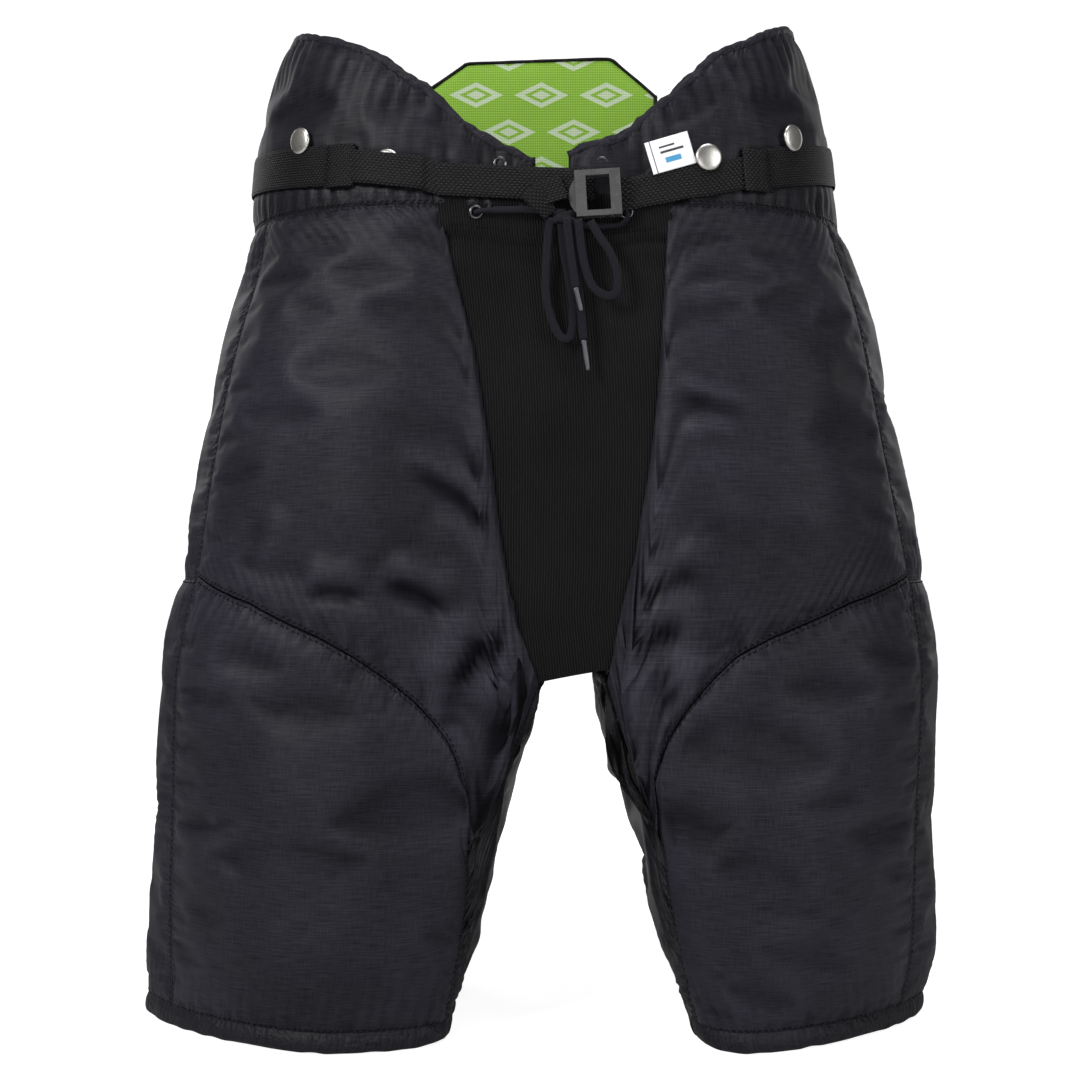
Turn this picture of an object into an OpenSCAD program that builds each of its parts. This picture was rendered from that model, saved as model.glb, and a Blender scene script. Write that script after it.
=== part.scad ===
// Ice hockey pants: a padded nylon shell on two legs, a knit crotch, foam and plastic guards inside,
// a webbing belt with a cam buckle, a laced fly, suspender buttons, kidney wings and a spine pad.
// Millimetres. The hems stand on z = 0, the fly faces -Y, +X is the wearer's left.

/* [Soft layers] */
// Thickness of the quilted nylon shell
fabric_t = 1.6; // [1.2:0.1:1.8]
// Thickness of the knit crotch panel
knit_t = 1.8; // [1.4:0.1:2.2]
// Thickness of the thigh foam
thigh_foam_t = 10; // [6:1:14]
// Thickness of the hip foam
hip_foam_t = 12; // [8:1:14]
// Thickness of the plastic guards
guard_t = 2.4; // [1.8:0.2:2.4]
// Thickness of the leg lining
liner_t = 2; // [1.5:0.1:2.4]
// Height of the hem band
hem_h = 22; // [16:1:22]

/* [Belt] */
// Width of the belt webbing
belt_w = 21; // [19:0.5:21]
// Thickness of the webbing
belt_t = 1.6; // [1.2:0.1:1.8]
// Width of the keeper webbing at the sides
keeper_w = 26; // [24:0.5:27]

/* [Buckle] */
// Outer width of the buckle
buckle_w = 28.2; // [27:0.2:30]
// Outer height of the buckle
buckle_h = 28.6; // [28:0.2:31]
// Thickness of its front plate
buckle_t = 3.5; // [3:0.1:4]
// Width of the window
window_w = 14.8; // [13:0.2:15]
// Height of the window, which passes the webbing
window_h = 21.6; // [21.4:0.2:22]
// Diameter of the lever's steel pin
pin_d = 2.4; // [2:0.1:2.6]
// Running clearance round the pin, on the radius
pin_gap = 0.05; // [0.03:0.01:0.1]

/* [Suspender buttons] */
// Diameter of a button's cap
button_d = 17; // [16:0.5:18]
// Thickness of a button's cap
button_t = 2.8; // [2.4:0.1:3]
// Diameter of a button's post
post_d = 5; // [4:0.5:6]

/* [Lace] */
// Width of the flat lace
lace_w = 6; // [5:0.2:6.4]
// Thickness of the flat lace
lace_t = 1.9; // [1.5:0.1:2]
// Bore of the lace eyelets
eyelet_bore = 5.4; // [5:0.2:6]
// Outer diameter of the lace eyelets
eyelet_d = 9; // [8.4:0.2:10]

/* [Hidden] */

// Sides: -1 is the wearer's right (-X), 1 is the wearer's left (+X).
LEFT = -1;
RIGHT = 1;

// Outlines of the worn shape as [height, distance]. X distances are measured outward from x = 0 on
// each side; the pants hang a little askew, so the two sides differ.
outer_minus = [[0, 276], [90, 271], [150, 266], [235, 262], [270, 256], [305, 246], [370, 237],
               [440, 224], [475, 214], [510, 202], [545, 198], [600, 193], [680, 170]];
outer_plus = [[0, 264], [45, 274], [140, 271], [245, 273], [310, 262], [400, 243],
              [475, 228], [512, 215], [550, 201], [600, 196], [680, 172]];
inner_minus = [[0, 64], [60, 48], [110, 36], [165, 22], [236, 1]];
inner_plus = [[0, 104], [22, 95], [50, 87], [112, 72], [150, 62], [175, 50], [236, 41]];
knit_minus = [[236, 1], [278, 17], [334, 26], [384, 32], [447, 42], [510, 58], [545, 67]];
knit_plus = [[236, 41], [278, 49], [316, 58], [372, 67], [416, 72], [461, 75], [545, 80]];
mid_minus = [[0, 140], [240, 122], [400, 96], [545, 74]];
mid_plus = [[0, 134], [240, 125], [400, 103], [545, 86]];
front_depth = [[0, 102], [120, 112], [240, 122], [330, 128], [420, 130], [500, 126], [560, 120],
               [600, 117], [700, 112]];
back_depth = [[0, 97], [120, 112], [240, 128], [330, 138], [420, 140], [500, 134], [560, 128],
              [600, 127], [700, 124]];
back_minus = [[236, 1], [262, -19.5], [560, -5]];
back_plus = [[236, 41], [262, 20.5], [560, 5]];
square_inner = [[0, 0.35], [150, 0.35], [236, 0.08], [245, 0]];
round_outer = [[0, 1.4], [150, 1.85], [240, 2]];
crotch_z = 236;

// Heights where the outlines bend, so that stacked layers are cut at the same rows
KNOTS = [24, 60, 110, 150, 190, 236, 275, 310, 350, 400, 450, 500, 550, 600, 640];

function table(s, a, b) = s == LEFT ? a : b;

// A point of the worn shape: u runs 0 knit edge, 1 front crease, 2 outer side, 3 back crease,
// 4 centre back, 5 round the inside of the leg to the front again. o is the depth below the shell.
function shape(s, u_in, z, o) =
    let (u = u_in > 5 ? u_in - 5 : u_in,
         low = z < crotch_z,
         xo = lookup(z, table(s, outer_minus, outer_plus)) - o,
         xc = lookup(z, table(s, mid_minus, mid_plus)),
         xi = low ? lookup(z, table(s, inner_minus, inner_plus)) + o
                  : u < 2 ? lookup(z, table(s, knit_minus, knit_plus))
                          : lookup(z, table(s, back_minus, back_plus)),
         df = lookup(z, front_depth) - o,
         db = lookup(z, back_depth) - o,
         m = lookup(z, square_inner),
         p = 2 / lookup(z, round_outer))
    u < 0 ? [s * (xi + 100 * u), -df, z]
  : u <= 1 ? [s * (xc + (xi - xc) * cos(90 * u)), -df * (1 - m * (1 - sin(90 * u))), z]
  : u <= 2 ? [s * (xc + (xo - xc) * pow(sin(90 * (u - 1)), p)),
              -df * pow(max(cos(90 * (u - 1)), 0), p), z]
  : u <= 3 ? [s * (xc + (xo - xc) * sin(90 * (u - 1))), db * abs(cos(90 * (u - 1))), z]
  : u <= 4 ? [s * (xc + (xi - xc) * sin(90 * (u - 3))), db * (1 - m * (1 - cos(90 * (u - 3)))), z]
  : [s * xi, (1 - m) * (db * (5 - u) - df * (u - 4)), z];

// Columns between two places round the shape, and rows between two heights
function cols(u0, u1, step = 1 / 6) =
    concat([u0], [for (k = [ceil(u0 / step + 0.3) : floor(u1 / step - 0.3)]) k * step], [u1]);
function rows(z0, z1) = concat([z0], [for (k = KNOTS) if (k > z0 + 6 && k < z1 - 6) k], [z1]);

// A sheet between depths o0 (outside) and o1 (inside). Each column of the grid is a list of
// [side, u, z] or [side, u, z, extra lift]; turn is true when the columns run clockwise seen from above.
module sheet(grid, o0, o1, turn = false, ring = false) {
    nu = len(grid);
    nz = len(grid[0]);
    function lift(q) = len(q) > 3 ? q[3] : 0;
    outer = [for (c = grid) for (q = c) shape(q[0], q[1], q[2], o0 - lift(q))];
    inner = [for (c = grid) for (q = c) shape(q[0], q[1], q[2], o1 - lift(q))];
    span = ring ? nu : nu - 1;
    function id(layer, i, j) = layer * nu * nz + (i % nu) * nz + j;
    function quad(a, b, c, d) = [[a, b, c], [a, c, d]];
    walls = [for (i = [0 : span - 1]) for (j = [0 : nz - 2]) each concat(
        quad(id(0, i, j), id(0, i, j + 1), id(0, i + 1, j + 1), id(0, i + 1, j)),
        quad(id(1, i, j), id(1, i + 1, j), id(1, i + 1, j + 1), id(1, i, j + 1)))];
    rims = [for (i = [0 : span - 1]) each concat(
        quad(id(0, i, 0), id(0, i + 1, 0), id(1, i + 1, 0), id(1, i, 0)),
        quad(id(0, i, nz - 1), id(1, i, nz - 1), id(1, i + 1, nz - 1), id(0, i + 1, nz - 1)))];
    ends = ring ? [] : [for (j = [0 : nz - 2]) each concat(
        quad(id(0, 0, j), id(1, 0, j), id(1, 0, j + 1), id(0, 0, j + 1)),
        quad(id(0, nu - 1, j), id(0, nu - 1, j + 1), id(1, nu - 1, j + 1), id(1, nu - 1, j)))];
    faces = concat(walls, rims, ends);
    polyhedron(concat(outer, inner), turn ? [for (f = faces) [f[2], f[1], f[0]]] : faces);
}

// A sheet on one side with level top and bottom edges
module panel(s, u0, u1, z0, z1, o0, o1)
    sheet([for (u = cols(u0, u1)) [for (z = rows(z0, z1)) [s, u, z]]], o0, o1, s == LEFT);

// The rounded seam over each thigh: height against the place round the leg
thigh_seam = [[0.36, 130], [0.45, 165], [0.6, 200], [0.75, 224], [0.9, 244], [1.1, 266],
              [1.35, 287], [1.7, 306]];
// Where the front panel ends below: down the gusset seam, then up the thigh seam
front_foot = [[0, 242], [0.36, 133], [0.45, 168], [0.6, 203], [0.75, 227], [0.9, 247],
              [1.1, 269], [1.35, 290], [1.7, 309]];
side_seam_u = 1.65;
gap = 1;
n_rows = 8;

// A sheet whose bottom and top edges are curves of u
module curved_panel(s, u0, u1, foot, head, o0, o1, n = n_rows)
    sheet([for (u = cols(u0, u1)) [for (k = [0 : n])
        [s, u, lookup(u, foot) + (lookup(u, head) - lookup(u, foot)) * k / n]]], o0, o1, s == LEFT);

// ---- Shell of the body ----
waist_seam_z = 538;
module front_panel(s) color("#232328")
    curved_panel(s, 0.02, side_seam_u, front_foot, [[0, waist_seam_z]], 0, fabric_t, 10);
module seat_panel(s) color("#202024")
    panel(s, side_seam_u + 0.02, 3.98, 302, waist_seam_z, 0, fabric_t);

waist_top_z = 597;
tab_u = -0.13;
module waistband(s) color("#232328") difference() {
    panel(s, tab_u + 0.01, 3.98, waist_seam_z + gap, waist_top_z, 0, fabric_t);
    for (b = button_places) post(b, post_d + 0.6);
}

// Top edge of the fly tabs against u, and the tabs with their lace eyelet holes
tab_foot = [[-0.63, 529], [-0.13, 536]];
tab_top = [[-0.63, 569], [-0.51, 577], [-0.33, 583], [-0.21, 592], [-0.13, 597]];
fly_x = 6;
eyelet_low_z = 533;
eyelet_top_z = 564;
eyelet_low_dx = 47;
eyelet_top_dx = 32;
eyelet_places = [[fly_x - eyelet_low_dx, eyelet_low_z], [fly_x + eyelet_low_dx, eyelet_low_z],
                 [fly_x - eyelet_top_dx, eyelet_top_z], [fly_x + eyelet_top_dx, eyelet_top_z]];
function front_y(z) = -lookup(z, front_depth);

module eyelet_holes(d) for (e = eyelet_places)
    translate([e[0], front_y(e[1]) + 10, e[1]]) rotate([90, 0, 0]) cylinder(d = d, h = 30, $fn = 32);

module fly_tab(s) color("#26262b") difference() {
    sheet([for (u = [-0.63, -0.51, -0.42, -0.33, -0.21, tab_u])
        [for (k = [0 : 4]) [s, u, lookup(u, tab_foot) + (lookup(u, tab_top) - lookup(u, tab_foot)) * k / 4]]],
        0, fabric_t, s == LEFT);
    eyelet_holes(eyelet_d - 2.4);
}

// ---- Knit crotch panel and crotch gusset ----
module knit_crotch_panel() {
    heights = [242, 278, 316, 350, 384, 416, 447, 480, 510, 526];
    pts = [for (o = [2.2, 2.2 + knit_t]) for (z = heights) for (k = [0 : 6])
        let (a = -lookup(z, knit_minus) + 1, b = lookup(z, knit_plus) - 1)
            [a + (b - a) * k / 6, front_y(z) + o, z]];
    n = len(heights);
    function id(l, j, i) = l * n * 7 + j * 7 + i;
    color("#151517") polyhedron(pts, concat(
        [for (j = [0 : n - 2]) for (i = [0 : 5]) each [
            [id(0, j, i), id(0, j + 1, i), id(0, j + 1, i + 1)],
            [id(0, j, i), id(0, j + 1, i + 1), id(0, j, i + 1)],
            [id(1, j, i), id(1, j + 1, i + 1), id(1, j + 1, i)],
            [id(1, j, i), id(1, j, i + 1), id(1, j + 1, i + 1)]]],
        [for (i = [0 : 5]) each [
            [id(0, 0, i), id(0, 0, i + 1), id(1, 0, i + 1)], [id(0, 0, i), id(1, 0, i + 1), id(1, 0, i)],
            [id(0, n - 1, i), id(1, n - 1, i + 1), id(0, n - 1, i + 1)],
            [id(0, n - 1, i), id(1, n - 1, i), id(1, n - 1, i + 1)]]],
        [for (j = [0 : n - 2]) each [
            [id(0, j, 0), id(1, j, 0), id(1, j + 1, 0)], [id(0, j, 0), id(1, j + 1, 0), id(0, j + 1, 0)],
            [id(0, j, 6), id(1, j + 1, 6), id(1, j, 6)], [id(0, j, 6), id(0, j + 1, 6), id(1, j + 1, 6)]]]));
}

gusset_len = 226;
module crotch_gusset() color("#17171a")
    translate([21, 0, 238.5]) cube([36, gusset_len, 2.4], center = true);

// ---- Pads and plastic guards in the body ----
hip_front = [[1.1, 405], [1.3, 392], [1.6, 360], [1.75, 348], [3, 348]];
module hip_plate(s) color("#e6e6e2")
    curved_panel(s, 1.3, 2.4, [for (q = hip_front) [q[0], q[1] + 12]], [[0, 512]], 3.6, 3.6 + guard_t);
module hip_pad(s) color("#3a3a40")
    curved_panel(s, 1.2, 2.6, hip_front, [[0, 526]], 7.6, 7.6 + hip_foam_t);

module seat_sheet(u0, z0, z1, o0, o1) {
    u = cols(u0, 4);
    across = concat([for (a = u) [LEFT, a]], [for (i = [len(u) - 2 : -1 : 0]) [RIGHT, u[i]]]);
    sheet([for (a = across) [for (z = rows(z0, z1)) [a[0], a[1], z]]], o0, o1, true);
}
module seat_pad() color("#3a3a40") seat_sheet(2.75, 350, 532, 7.6, 19.6);
module tailbone_plate() color("#e6e6e2") seat_sheet(3.4, 380, 520, 3.6, 3.6 + guard_t);

// ---- Belt ----
// Height of the belt's centre line against u, and how far it rides up over the covered button
belt_minus = [[-1, 550], [-0.6, 551], [0, 554], [1, 556.5], [1.12, 560], [1.24, 564], [1.44, 567],
              [1.7, 572], [2, 578], [3, 586], [4, 589]];
belt_plus = [[-1, 546], [0, 549], [1, 550.5], [1.1, 553], [1.2, 558], [1.36, 565], [1.6, 574],
             [1.9, 583], [2, 584.5], [3, 588], [4, 589]];
belt_ride = [[0.96, 0], [1.04, 3.2], [1.2, 3.2], [1.3, 0]];
function belt_z(s, u) = lookup(u, table(s, belt_minus, belt_plus));
module belt_strip(s, u0, u1, w, o0, o1)
    sheet([for (u = cols(u0, u1, 1 / 12)) [for (k = [-0.5, 0, 0.5])
        [s, u, belt_z(s, u) + k * w, s == LEFT ? lookup(u, belt_ride) : 0]]], o0, o1, s == LEFT);

keeper_u = 1.24;
belt_lift = 3.2;
module belt_right() color("#161618") union() {
    belt_strip(RIGHT, -0.3, 1.34, belt_w, -belt_lift, -belt_lift + belt_t);
    at_buckle() for (y = [bar_y - belt_t - 0.5, bar_y + bar_d + 0.2])
        translate([bar_x - 2 - belt_t, y, -belt_w / 2]) cube([8, belt_t, belt_w]);
    at_buckle() translate([0, bar_y + bar_d + 0.2 + belt_t, 0]) rotate([90, 0, 0]) linear_extrude(belt_t)
        polygon([[14, -belt_w / 2], [20, belt_skew - belt_w / 2], [28, belt_skew - belt_w / 2],
            [28, belt_skew + belt_w / 2], [20, belt_skew + belt_w / 2], [14, belt_w / 2]]);
    at_buckle() translate([bar_x - 2 - belt_t, bar_y - belt_t - 0.5, -belt_w / 2])
        cube([belt_t, bar_d + 0.7 + 2 * belt_t, belt_w]);
}
module belt_left() color("#161618") union() {
    belt_strip(LEFT, -1.0, 1.34, belt_w, -belt_lift, -belt_lift + belt_t);
    belt_tail();
}
// The free end, folded forward at the buckle and tucked down behind the belt
module belt_tail() translate([0, front_y(549) - belt_lift - 0.2, 0]) rotate([90, 0, 0])
    linear_extrude(belt_t) polygon([[15, 541], [15, 559], [-2, 562], [-12, 549], [-10, 539], [-1, 530], [8, 534]]);
module belt_back() {
    u = cols(2.02, 4);
    across = concat([for (a = u) [LEFT, a]], [for (i = [len(u) - 2 : -1 : 0]) [RIGHT, u[i]]]);
    color("#161618") sheet([for (a = across) [for (k = [-0.5, 0, 0.5]) [a[0], a[1], belt_z(a[0], a[1]) + k * belt_w]]],
          -belt_lift, -belt_lift + belt_t, true);
}
// Side webbing, folded back on itself round the belt's end
module keeper(s) color("#18181a") difference() {
    belt_strip(s, keeper_u, 2.0, keeper_w, -belt_lift - 1.8, -0.3);
    belt_strip(s, keeper_u - 0.1, 1.38, belt_w + 1, -belt_lift - 0.6, -belt_lift + belt_t + 0.6);
}

// ---- Cam buckle ----
buckle_x = 35;
buckle_z = 543;
buckle_tilt = 3.5;
bar_x = 11.2;
bar_y = 3.2;
bar_d = 3;
// How much higher the belt runs past the buckle than through it
belt_skew = 6.5;
pivot_x = -11;
pivot_y = 3.8;
hub_r = 2.9;
cheek_d = 7;
buckle_y = front_y(buckle_z) - belt_lift - pivot_y - hub_r - 0.4;
module at_buckle() translate([buckle_x, buckle_y, buckle_z]) rotate([0, -buckle_tilt, 0]) children();

module buckle_frame() color("#4a4a4e") at_buckle() difference() {
    union() {
        rotate([90, 0, 0]) linear_extrude(buckle_t) square([buckle_w, buckle_h], center = true);
        for (z = [window_h / 2, -buckle_h / 2]) translate([-buckle_w / 2, -0.1, z])
            cube([buckle_w, cheek_d - 0.5, (buckle_h - window_h) / 2]);
        translate([bar_x, bar_y, -buckle_h / 2]) cube([2.4, bar_d, buckle_h]);
    }
    translate([-window_w / 2, -buckle_t - 1, -window_h / 2]) cube([window_w, buckle_t + 2, window_h]);
    translate([pivot_x, pivot_y, -20]) cylinder(d = pin_d + 2 * pin_gap, h = 40, $fn = 32);
}
module buckle_pin() color("#b8b8bc") at_buckle()
    translate([pivot_x, pivot_y, -buckle_h / 2 + 0.4]) cylinder(d = pin_d, h = buckle_h - 0.8, $fn = 32);
module buckle_lever() color("#4a4a4e") at_buckle() translate([pivot_x, pivot_y, 0]) difference() {
    union() {
        cylinder(r = hub_r, h = window_h - 0.8, center = true, $fn = 48);
        translate([0, hub_r, 0]) rotate([90, 0, 0]) linear_extrude(1.8) intersection() {
            translate([8.4, 0]) circle(r = 15.5, $fn = 96);
            translate([-7.1, -window_h / 2 + 0.4]) square([7.1, window_h - 0.8]);
        }
    }
    cylinder(d = pin_d + 2 * pin_gap, h = 40, center = true, $fn = 32);
}

// ---- Suspender buttons, lace eyelets, label ----
// [side, u, height, distance of the cap's back from the shell]
button_places = [[LEFT, 1.44, 584, 5.8], [RIGHT, 1.44, 586, 5.8], [LEFT, 1.12, 565, 1], [RIGHT, 1.1, 567.5, 4.1]];
// How far the posts reach through the waistband
post_root = 4;
module at_button(b) {
    p = shape(b[0], b[1], b[2], 0);
    q = shape(b[0], b[1] + 0.02, b[2], 0);
    r = shape(b[0], b[1] - 0.02, b[2], 0);
    t = atan2(q[1] - r[1], q[0] - r[0]) + (b[0] == LEFT ? 180 : 0);
    translate(p) rotate([0, 0, t]) rotate([90, 0, 0]) children();
}
module suspender_button_caps() color("#c8c6c0") for (b = button_places) at_button(b)
    translate([0, 0, b[3]]) rotate_extrude($fn = 64) polygon([[0, 0], [button_d / 2 - 0.4, 0],
        [button_d / 2, 0.4], [button_d / 2, 1.6], [button_d / 2 - 0.7, 2.1], [button_d / 4, button_t - 0.1],
        [0, button_t]]);
module post(b, d) at_button(b) translate([0, 0, -post_root]) cylinder(d = d, h = b[3] + post_root, $fn = 32);
module suspender_button_posts() color("#a8a6a0") for (b = button_places) post(b, post_d);
module lace_eyelets() color("#9a9a9e") for (e = eyelet_places)
    translate([e[0], front_y(e[1]), e[1]]) rotate([90, 0, 0]) difference() {
        union() {
            translate([0, 0, 0.4]) cylinder(d = eyelet_d, h = 0.6, $fn = 48);
            translate([0, 0, -fabric_t - 1.2]) cylinder(d = eyelet_d - 2.6, h = fabric_t + 2, $fn = 48);
        }
        translate([0, 0, -5]) cylinder(d = eyelet_bore, h = 12, $fn = 48);
    }
module size_label() color("#f2f2f0") translate([80.5, front_y(570) - 0.4, 570]) rotate([85.5, 12, 0])
    translate([-14, -10.5, 0]) cube([28, 21, 0.7]);

// ---- Lace: one flat cord through the low eyelets, knotted in front into two loops and two ends ----
// Route points of each free strand, and of the ends' aglets
lace_back_y = -130.4;
lace_mid_y = -133;
lace_front_y = -135.6;
loop_left = [[5, lace_back_y, 528], [3.5, lace_back_y, 511], [2.5, lace_back_y, 492], [3, lace_back_y, 478],
             [6, lace_back_y, 466], [10, lace_back_y, 456.5], [14.5, lace_back_y, 453],
             [18.5, lace_back_y, 456.5], [19.6, lace_back_y, 470], [17.8, lace_back_y, 487],
             [14, lace_back_y, 506], [12, lace_back_y, 528]];
loop_right = [[22.6, lace_front_y, 526], [25, lace_front_y, 506], [28, lace_front_y, 493], [32, lace_front_y, 484],
              [38, lace_front_y, 479.6], [43, lace_front_y, 479], [46.6, lace_front_y, 482.5],
              [46.4, lace_front_y, 494], [42, lace_front_y, 506], [35.4, lace_front_y, 516],
              [30, lace_front_y, 525]];
end_short = [[15.4, lace_front_y, 527], [17.4, lace_front_y, 510], [19.6, lace_front_y, 494], [21, lace_front_y, 484]];
end_long = [[18.4, lace_mid_y, 527], [20.6, lace_mid_y, 508], [22.6, lace_mid_y, 488], [24.4, lace_mid_y, 470],
            [26, lace_mid_y, 452]];
aglet_short_end = [24.6, lace_front_y, 469.5];
aglet_long_end = [28.8, lace_mid_y, 433];
// The threaded part: knot, out to one low eyelet, across behind both fly tabs, and back to the knot
threaded = [[15, -129, 531.5], [-8, -128, 533.4], [-26, -127, 533.6], [-37, -126, 533.2], [-40.4, -124.6, 533],
            [-41, -122.4, 533], [-41, -120.4, 533], [-40, -118, 533], [-34, -116.6, 533.4], [-15, -116.4, 534],
            [6, -116.4, 534], [30, -116.4, 534], [46, -116.6, 533.4], [52, -118, 533], [53, -120.4, 533],
            [53, -122.4, 533], [53.6, -124.6, 532.2], [53.2, -126, 528], [47, -126.4, 524.2],
            [34, -127, 523.4], [23, -128.4, 524.6], [16.6, -129, 529.6]];

// Points of a smooth curve through the route
function spline(p, n = 3) = concat([for (i = [0 : len(p) - 2]) for (k = [0 : n - 1])
    let (a = p[max(i - 1, 0)], b = p[i], c = p[i + 1], d = p[min(i + 2, len(p) - 1)], t = k / n)
        0.5 * (2 * b + (c - a) * t + (2 * a - 5 * b + 4 * c - d) * t * t
            + (3 * b - a - 3 * c + d) * t * t * t)], [p[len(p) - 1]]);

// A flat cord along points: across is the direction that the cord's thickness faces
module cord(p, w, t, facing = [0, 1, 0], sides = 8) {
    n = len(p);
    rings = [for (i = [0 : n - 1])
        let (d = p[min(i + 1, n - 1)] - p[max(i - 1, 0)], f = d / norm(d),
             a = cross(f, facing), side = a / norm(a), up = cross(side, f))
            for (k = [0 : sides - 1])
                p[i] + side * (w / 2 * cos(360 * k / sides)) + up * (t / 2 * sin(360 * k / sides))];
    polyhedron(rings, concat(
        [[for (k = [0 : sides - 1]) k]],
        [[for (k = [sides - 1 : -1 : 0]) (n - 1) * sides + k]],
        [for (i = [0 : n - 2]) for (k = [0 : sides - 1])
            let (k1 = (k + 1) % sides) each [[i * sides + k, (i + 1) * sides + k, (i + 1) * sides + k1],
                                             [i * sides + k, (i + 1) * sides + k1, i * sides + k1]]]));
}
// Width of the lace where it is bunched round in the eyelets
bunched_w = 3;
module lace_threaded() color("#1b1b26") cord(spline(threaded, 2), bunched_w, bunched_w, [0.5, 0.4, 1]);
module lace_loop_left() color("#1b1b26") cord(spline(loop_left), lace_w, lace_t);
module lace_loop_right() color("#1b1b26") cord(spline(loop_right), lace_w, lace_t);
module lace_end_short() color("#1b1b26") cord(spline(end_short), lace_w, lace_t);
module lace_end_long() color("#1b1b26") cord(spline(end_long), lace_w, lace_t);
module aglet(from, to) {
    d = to - from;
    start = from + d / norm(d) * 0.4;
    translate(start) rotate([0, atan2(norm([d[0], d[1]]), d[2]), atan2(d[1], d[0])])
        cylinder(d = 3.2, h = norm(to - start), $fn = 32);
}
module aglet_short() color("#c9ccd2") aglet(end_short[len(end_short) - 1], aglet_short_end);
module aglet_long() color("#c9ccd2") aglet(end_long[len(end_long) - 1], aglet_long_end);

// ---- Kidney wings ----
wing_foot_z = 599;
wing_top = [[0, 612], [1, 616], [1.12, 630], [1.2, 637], [1.33, 646], [1.5, 657], [1.7, 664], [2, 669],
            [2.25, 662], [2.45, 640], [2.6, 606]];
module wing_shell(s) color("#232328")
    curved_panel(s, 0.4, 2.6, [[0, wing_foot_z]], wing_top, 0, fabric_t, 4);
module wing_foam(s) color("#3a3a40")
    curved_panel(s, 1.2, 2.35, [[0, 617]], [for (q = wing_top) [q[0], q[1] - 6]], 3.6, 13.6, 3);
module wing_lining(s) color("#7fbf2a")
    curved_panel(s, 0.6, 2.56, [[0, wing_foot_z]], [for (q = wing_top) [q[0], q[1] - 1]], 15.6, 16.8, 4);

// ---- Spine pad ----
pad_x0 = -99;
pad_x1 = 88;
pad_foot_z = 603;
pad_top_z = 700;
pad_shoulder_z = 672;
module pad_plate(inset, y, t) translate([0, y, 0]) rotate([90, 0, 0]) linear_extrude(t) polygon([
    [pad_x0 + inset, pad_foot_z], [pad_x1 - inset, pad_foot_z], [pad_x1 - inset, pad_shoulder_z - inset / 2],
    [pad_x1 - 37 - inset / 2, pad_top_z - inset], [pad_x0 + 37 + inset / 2, pad_top_z - inset],
    [pad_x0 + inset, pad_shoulder_z - inset / 2]]);
module spine_pad_shell() color("#232328") pad_plate(0, 127.6, fabric_t);
module spine_pad_plate() color("#e6e6e2") pad_plate(10, 125.4, guard_t);
module spine_pad_foam() color("#3a3a40") pad_plate(4, 122.4, 10);
module spine_pad_lining() color("#7fbf2a") pad_plate(0, 111.8, 1.6);

// ---- Legs ----
leg_foot_z = hem_h + gap;
module thigh_panel(s) color("#26262b")
    curved_panel(s, 0.38, side_seam_u, [[0, leg_foot_z]], thigh_seam, 0, fabric_t);
module leg_back_panel(s) color("#202024")
    panel(s, side_seam_u + 0.02, 3.5, leg_foot_z, 301, 0, fabric_t);
module inner_gusset(s) color("#1d1d20")
    curved_panel(s, 3.52, 5.36, [[0, leg_foot_z]],
        [[3.52, 301], [3.75, 268], [3.9, 240], [4, 234], [5.02, 231], [5.36, 125]], 0, fabric_t);
module hem_band(s) color("#1b1b1e")
    sheet([for (k = [0 : 23]) [for (z = [0, hem_h]) [s, 0.02 + k * 5 / 24, z]]],
          0, fabric_t + 1.8, s == LEFT, true);
module thigh_guard(s) color("#e6e6e2")
    curved_panel(s, 0.6, 1.5, [[0, 52]], [for (q = thigh_seam) [q[0], q[1] - 14]], 3.6, 3.6 + guard_t, 6);
module thigh_foam(s) color("#3a3a40")
    curved_panel(s, 0.48, 1.6, [[0, 28]], [for (q = thigh_seam) [q[0], min(q[1] - 8, 296)]],
        7.6, 7.6 + thigh_foam_t, 6);
liner_top = [[1.7, 296], [3.2, 296], [3.45, 190], [5.3, 190], [5.42, 150]];
module leg_liner(s) color("#2c2c30")
    curved_panel(s, 1.7, 5.42, [[0, 28]], liner_top, 3.8, 3.8 + liner_t, 7);

front_panel(LEFT);  // front_panel_left
front_panel(RIGHT);  // front_panel_right
seat_panel(LEFT);  // seat_panel_left
seat_panel(RIGHT);  // seat_panel_right
waistband(LEFT);  // waistband_left
waistband(RIGHT);  // waistband_right
fly_tab(LEFT);  // fly_tab_left
fly_tab(RIGHT);  // fly_tab_right
knit_crotch_panel();
crotch_gusset();
hip_pad(LEFT);  // hip_pad_left
hip_pad(RIGHT);  // hip_pad_right
hip_plate(LEFT);  // hip_plate_left
hip_plate(RIGHT);  // hip_plate_right
seat_pad();
tailbone_plate();
belt_left();
belt_right();
belt_back();
keeper(LEFT);  // keeper_left
keeper(RIGHT);  // keeper_right
buckle_frame();
buckle_pin();
buckle_lever();
suspender_button_caps();
suspender_button_posts();
lace_eyelets();
lace_threaded();
lace_loop_left();
lace_loop_right();
lace_end_short();
lace_end_long();
aglet_short();
aglet_long();
size_label();
wing_shell(LEFT);  // wing_shell_left
wing_foam(LEFT);  // wing_foam_left
wing_lining(LEFT);  // wing_lining_left
wing_shell(RIGHT);  // wing_shell_right
wing_foam(RIGHT);  // wing_foam_right
wing_lining(RIGHT);  // wing_lining_right
spine_pad_shell();
spine_pad_plate();
spine_pad_foam();
spine_pad_lining();
thigh_panel(LEFT);  // thigh_panel_left
leg_back_panel(LEFT);  // leg_back_panel_left
inner_gusset(LEFT);  // inner_gusset_left
hem_band(LEFT);  // hem_band_left
thigh_guard(LEFT);  // thigh_guard_left
thigh_foam(LEFT);  // thigh_foam_left
leg_liner(LEFT);  // leg_liner_left
thigh_panel(RIGHT);  // thigh_panel_right
leg_back_panel(RIGHT);  // leg_back_panel_right
inner_gusset(RIGHT);  // inner_gusset_right
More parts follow.
